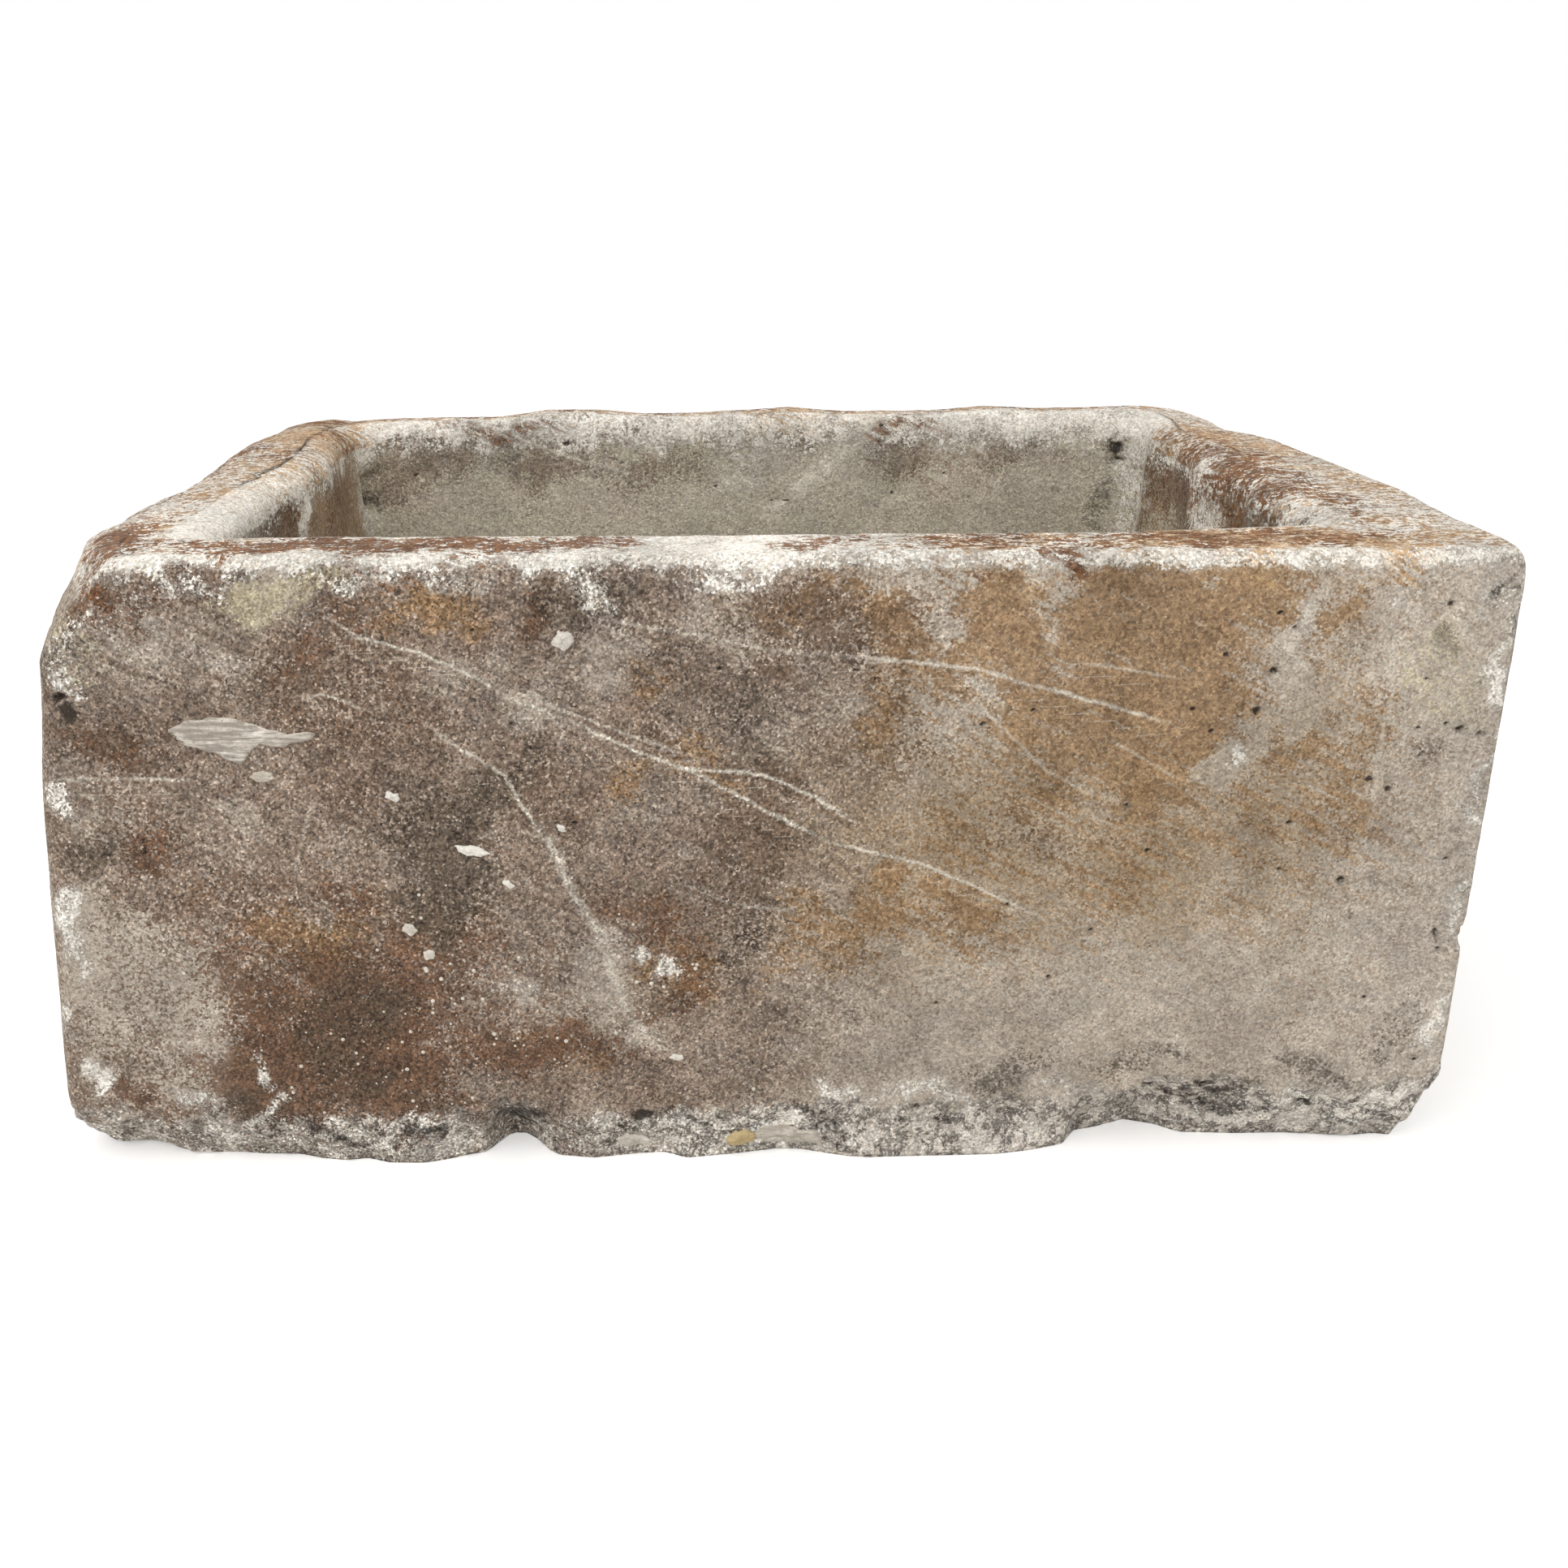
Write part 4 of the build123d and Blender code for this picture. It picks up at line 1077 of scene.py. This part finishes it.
def crustShell(outline, thickness, phase, roundness=2.0):
    # A closed crust that follows the stone: domed outside, sunk a little into the stone behind
    columns, rings = crustShape["columns"], crustShape["rings"]
    edge = smoothLoop(outline, columns)
    centre = edge.mean(0)
    turn = np.arange(columns) / columns * 2 * np.pi
    ragged = 1 + crustShape["raggedness"] * (np.sin(7 * turn + phase) + 0.6 * np.sin(17 * turn + 2 * phase))
    edge = centre + (edge - centre) * ragged[:, None]
    places, heights = [centre], [thickness]
    for ring in range(1, rings + 1):
        share = ring / rings
        lumps = np.sin(3 * turn + phase + 4 * share) * np.sin(5 * turn + 9 * share)
        places += list(centre + (edge - centre) * share)
        dome = thickness * (1 - share**roundness) ** 0.5 + crustShape["edge"]
        dome = dome * (1 + crustShape["lumpiness"] * lumps)
        heights += list(dome if ring < rings else np.full(columns, crustShape["edge"]))
    vertices = [(x, stoneSurface(x, z) - height, z) for (x, z), height in zip(places, heights)]
    back = [(x, stoneSurface(x, z) + crustShape["sunk"], z) for x, z in places]
    sheet, faces = len(vertices), []
    for ring in range(rings):
        for column in range(columns):
            after = (column + 1) % columns
            outer = [1 + ring * columns + column, 1 + ring * columns + after]
            inner = [0] if ring == 0 else [outer[0] - columns, outer[1] - columns]
            face = inner[:1] + outer + (inner[1:] if ring else [])
            faces += [face, [sheet + corner for corner in reversed(face)]]
    rim = 1 + (rings - 1) * columns
    for column in range(columns):
        here, after = rim + column, rim + (column + 1) % columns
        faces.append([here, sheet + here, sheet + after, after])
    return vertices + back, faces


def crustObject(name, shells, node, fields):
    # Several crusts as one piece, each with its own share of every field
    vertices, faces, values = [], [], {label: [] for label in fields}
    for index, (shellVertices, shellFaces) in enumerate(shells):
        faces += [[corner + len(vertices) for corner in face] for face in shellFaces]
        vertices += shellVertices
        for label in fields:
            values[label] += [fields[label][index]] * len(shellVertices)
    mesh = bpy.data.meshes.new(name)
    mesh.from_pydata((np.array(vertices) * mm).tolist(), [], faces)
    for label, series in values.items():
        addField(mesh, label, series)
    mesh.materials.append(mortar)
    mesh.shade_smooth()
    made = addObject(name, mesh)
    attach(made, "root")
    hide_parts(node)


# The smear of pointing mortar, brushed out to the right, and the small one under it
smearOutline = [
    (-412, 360), (-401, 368), (-389, 371), (-374, 370), (-357, 367), (-345, 362), (-330, 357),
    (-316, 360), (-315, 356), (-326, 351), (-337, 348), (-349, 352), (-357, 346), (-366, 337),
    (-378, 341), (-391, 346), (-401, 351), (-410, 355),
]
smallSmearOutline = [(-361, 326), (-355, 330), (-346, 329), (-345, 324), (-354, 322)]
crustObject(
    "mortar_smear_crust",
    [crustShell(smearOutline, 1.8, 0.4, 6.0), crustShell(smallSmearOutline, 1.0, 1.9, 4.0)],
    "mortar_smear",
    {"brushing": [0.9, 0.6], "whiteness": [0.15, 0.2], "yellowing": [0.0, 0.1]},
)

# Splashes of lime: X, Z, length, height, thickness, whiteness
splashes = [
    (-137, 425, 14, 14, 4.0, 0.45), (-208, 267, 20, 9, 2.8, 0.95), (-262, 310, 9, 8, 2.0, 0.8),
    (-183, 240, 8, 6, 1.6, 0.85), (-143, 284, 7, 5, 1.6, 0.85), (-257, 204, 12, 8, 1.2, 0.3),
    (-244, 183, 9, 8, 1.6, 0.6), (-62, 93, 9, 6, 1.6, 0.7),
]


def splashShell(index, x, z, length, height, thickness):
    corners = 9
    turn = np.arange(corners) / corners * 2 * np.pi
    uneven = 1 + 0.2 * np.sin(2 * turn + index) + 0.16 * np.sin(4 * turn + 2.7 * index)
    outline = [
        (x + length / 2 * r * np.cos(t), z + height / 2 * r * np.sin(t) - 0.12 * length * np.cos(t))
        for t, r in zip(turn, uneven)
    ]
    return crustShell(outline, thickness, 1.3 * index)


crustObject(
    "lime_splash_crusts",
    [splashShell(index, *row[:5]) for index, row in enumerate(splashes)],
    "lime_splashes",
    {
        "brushing": [0.2] * len(splashes),
        "whiteness": [row[5] for row in splashes],
        "yellowing": [0.0] * len(splashes),
    },
)

# Lumps of bedding mortar at the foot: their outlines
beddingOutlines = [
    [(-110, 16), (-102, 21), (-88, 19), (-82, 14), (-91, 10), (-104, 10)],
    [(-24, 18), (-16, 25), (-6, 23), (-1, 15), (-10, 9), (-21, 11)],
    [(-2, 20), (12, 26), (30, 24), (46, 22), (50, 12), (34, 8), (14, 9), (2, 13)],
]
crustObject(
    "bedding_mortar_crusts",
    [crustShell(outline, 3.0, 2.1 * index, 3.0) for index, outline in enumerate(beddingOutlines)],
    "bedding_mortar",
    {"brushing": [0.2, 0.3, 1.0], "whiteness": [0.2, 0.0, 0.35], "yellowing": [0.0, 0.8, 0.05]},
)
print("mortar laid")

# Specks of lime, flicked over the front
speckShape = {"Density": 9000.0, "Smallest": 0.5, "Largest": 1.7, "Flatness": 0.45, "Seed": 11}


def speckTree():
    kinds = {label: "Int" if label == "Seed" else "Float" for label in speckShape}
    tree, given = newTree("limeSpecks", {**kinds, "Lime": "Material"})
    seed, largest = given["Seed"], given["Largest"]
    where = addNode(tree, "GeometryNodeInputNamedAttribute", {"Name": "specks"}, data_type="FLOAT")
    amount = addNode(tree, "ShaderNodeMath", {0: where, 1: given["Density"]}, operation="MULTIPLY")
    points = addNode(
        tree, "GeometryNodeDistributePointsOnFaces",
        {"Mesh": given["Geometry"], "Density": amount, "Seed": seed},
    )
    drop = addNode(tree, "GeometryNodeMeshIcoSphere", {"Radius": mm, "Subdivisions": 2})
    size = {2: given["Smallest"], 3: largest, "Seed": seed}
    size = addNode(tree, "FunctionNodeRandomValue", size, data_type="FLOAT").outputs[1]
    # Squared, so that few specks are large
    size = addNode(tree, "ShaderNodeMath", {0: size, 1: size}, operation="MULTIPLY")
    size = addNode(tree, "ShaderNodeMath", {0: size, 1: largest}, operation="DIVIDE")
    flat = addNode(tree, "ShaderNodeMath", {0: size, 1: given["Flatness"]}, operation="MULTIPLY")
    scale = addNode(tree, "ShaderNodeCombineXYZ", {0: size, 1: size, 2: flat})
    placed = addNode(
        tree, "GeometryNodeInstanceOnPoints",
        {"Points": points, "Instance": drop, "Rotation": points.outputs["Rotation"], "Scale": scale},
    )
    endTree(tree, placed, given["Lime"])
    return tree


specks = finishNodes(stone, speckTree(), {**speckShape, "Lime": mortar}, "lime_specks")
for label, amount in (("whiteness", 0.55), ("brushing", 0.0), ("yellowing", 0.1)):
    addField(specks.data, label, [amount] * len(specks.data.vertices))
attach(specks, "root")
print("specks scattered,", len(specks.data.polygons), "triangles")

# The stage

view = {
    "place": (-0.04957, -1.28349, 0.71868),
    "tilt": 71.74,
    "turn": -1.5,
    "lens": 33.54,
    "shift": (0.03675, -0.0704),
    "sensor": 36,
    "farthest": 60,
}
camera = addObject("camera", bpy.data.cameras.new("camera"))
camera.location = view["place"]
camera.rotation_euler = np.radians([view["tilt"], 0, view["turn"]])
camera.data.sensor_width = view["sensor"]
camera.data.lens = view["lens"]
camera.data.shift_x, camera.data.shift_y = view["shift"]
camera.data.clip_end = view["farthest"]
bpy.context.scene.camera = camera
bpy.context.scene.view_settings.view_transform = "Standard"

lighting = {
    "sky": 0.8,  # the soft light from all round
    "keyPower": 46.0,
    "keySize": 2.6,
    "keyPlace": (-0.9, -1.6, 2.9),
    "keyTarget": (0, 0, 0.3),
    "floorColour": "#efeeec",
    "floorGlow": 0.35,
    "floorSize": 12.0,
}


def makeStage():
    white = (1, 1, 1, 1)
    world = bpy.data.worlds.new("paleStudio")
    bpy.context.scene.world = world
    tree = emptyTree(world)
    ray = addNode(tree, "ShaderNodeLightPath", {}).outputs
    seen = ray["Is Camera Ray"]
    for kind in ("Is Glossy Ray", "Is Transmission Ray"):
        seen = addNode(tree, "ShaderNodeMath", {0: seen, 1: ray[kind]}, operation="MAXIMUM")
    sky = addNode(tree, "ShaderNodeBackground", {"Color": white, "Strength": lighting["sky"]})
    backdrop = addNode(tree, "ShaderNodeBackground", {"Color": white, "Strength": 1.0})
    both = addNode(tree, "ShaderNodeMixShader", {0: seen, 1: sky, 2: backdrop})
    addNode(tree, "ShaderNodeOutputWorld", {0: both})

    # Matt white card that glows a little to the camera, so that it ends in the white behind
    paint = bpy.data.materials.new("paleFloor")
    tree = emptyTree(paint)
    ray = addNode(tree, "ShaderNodeLightPath", {}).outputs["Is Camera Ray"]
    glow = addNode(tree, "ShaderNodeMath", {0: ray, 1: lighting["floorGlow"]}, operation="MULTIPLY")
    matt = addNode(tree, "ShaderNodeBsdfDiffuse", {"Color": linear(lighting["floorColour"])})
    lit = addNode(tree, "ShaderNodeEmission", {"Color": white, "Strength": glow})
    added = addNode(tree, "ShaderNodeAddShader", {0: matt, 1: lit})
    addNode(tree, "ShaderNodeOutputMaterial", {0: added})
    half = lighting["floorSize"] / 2
    corners = [(-half, -half, 0), (half, -half, 0), (half, half, 0), (-half, half, 0)]
    mesh = bpy.data.meshes.new("floor")
    mesh.from_pydata(corners, [], [(0, 1, 2, 3)])
    mesh.materials.append(paint)
    floor = addObject("floor", mesh)

    lamp = bpy.data.lights.new("softKey", "AREA")
    lamp.energy = lighting["keyPower"]
    lamp.size = lighting["keySize"]
    key = addObject("softKey", lamp)
    key.location = lighting["keyPlace"]
    towards = Vector(lighting["keyTarget"]) - key.location
    key.rotation_euler = towards.to_track_quat("-Z", "Y").to_euler()


makeStage()
print("stage set")
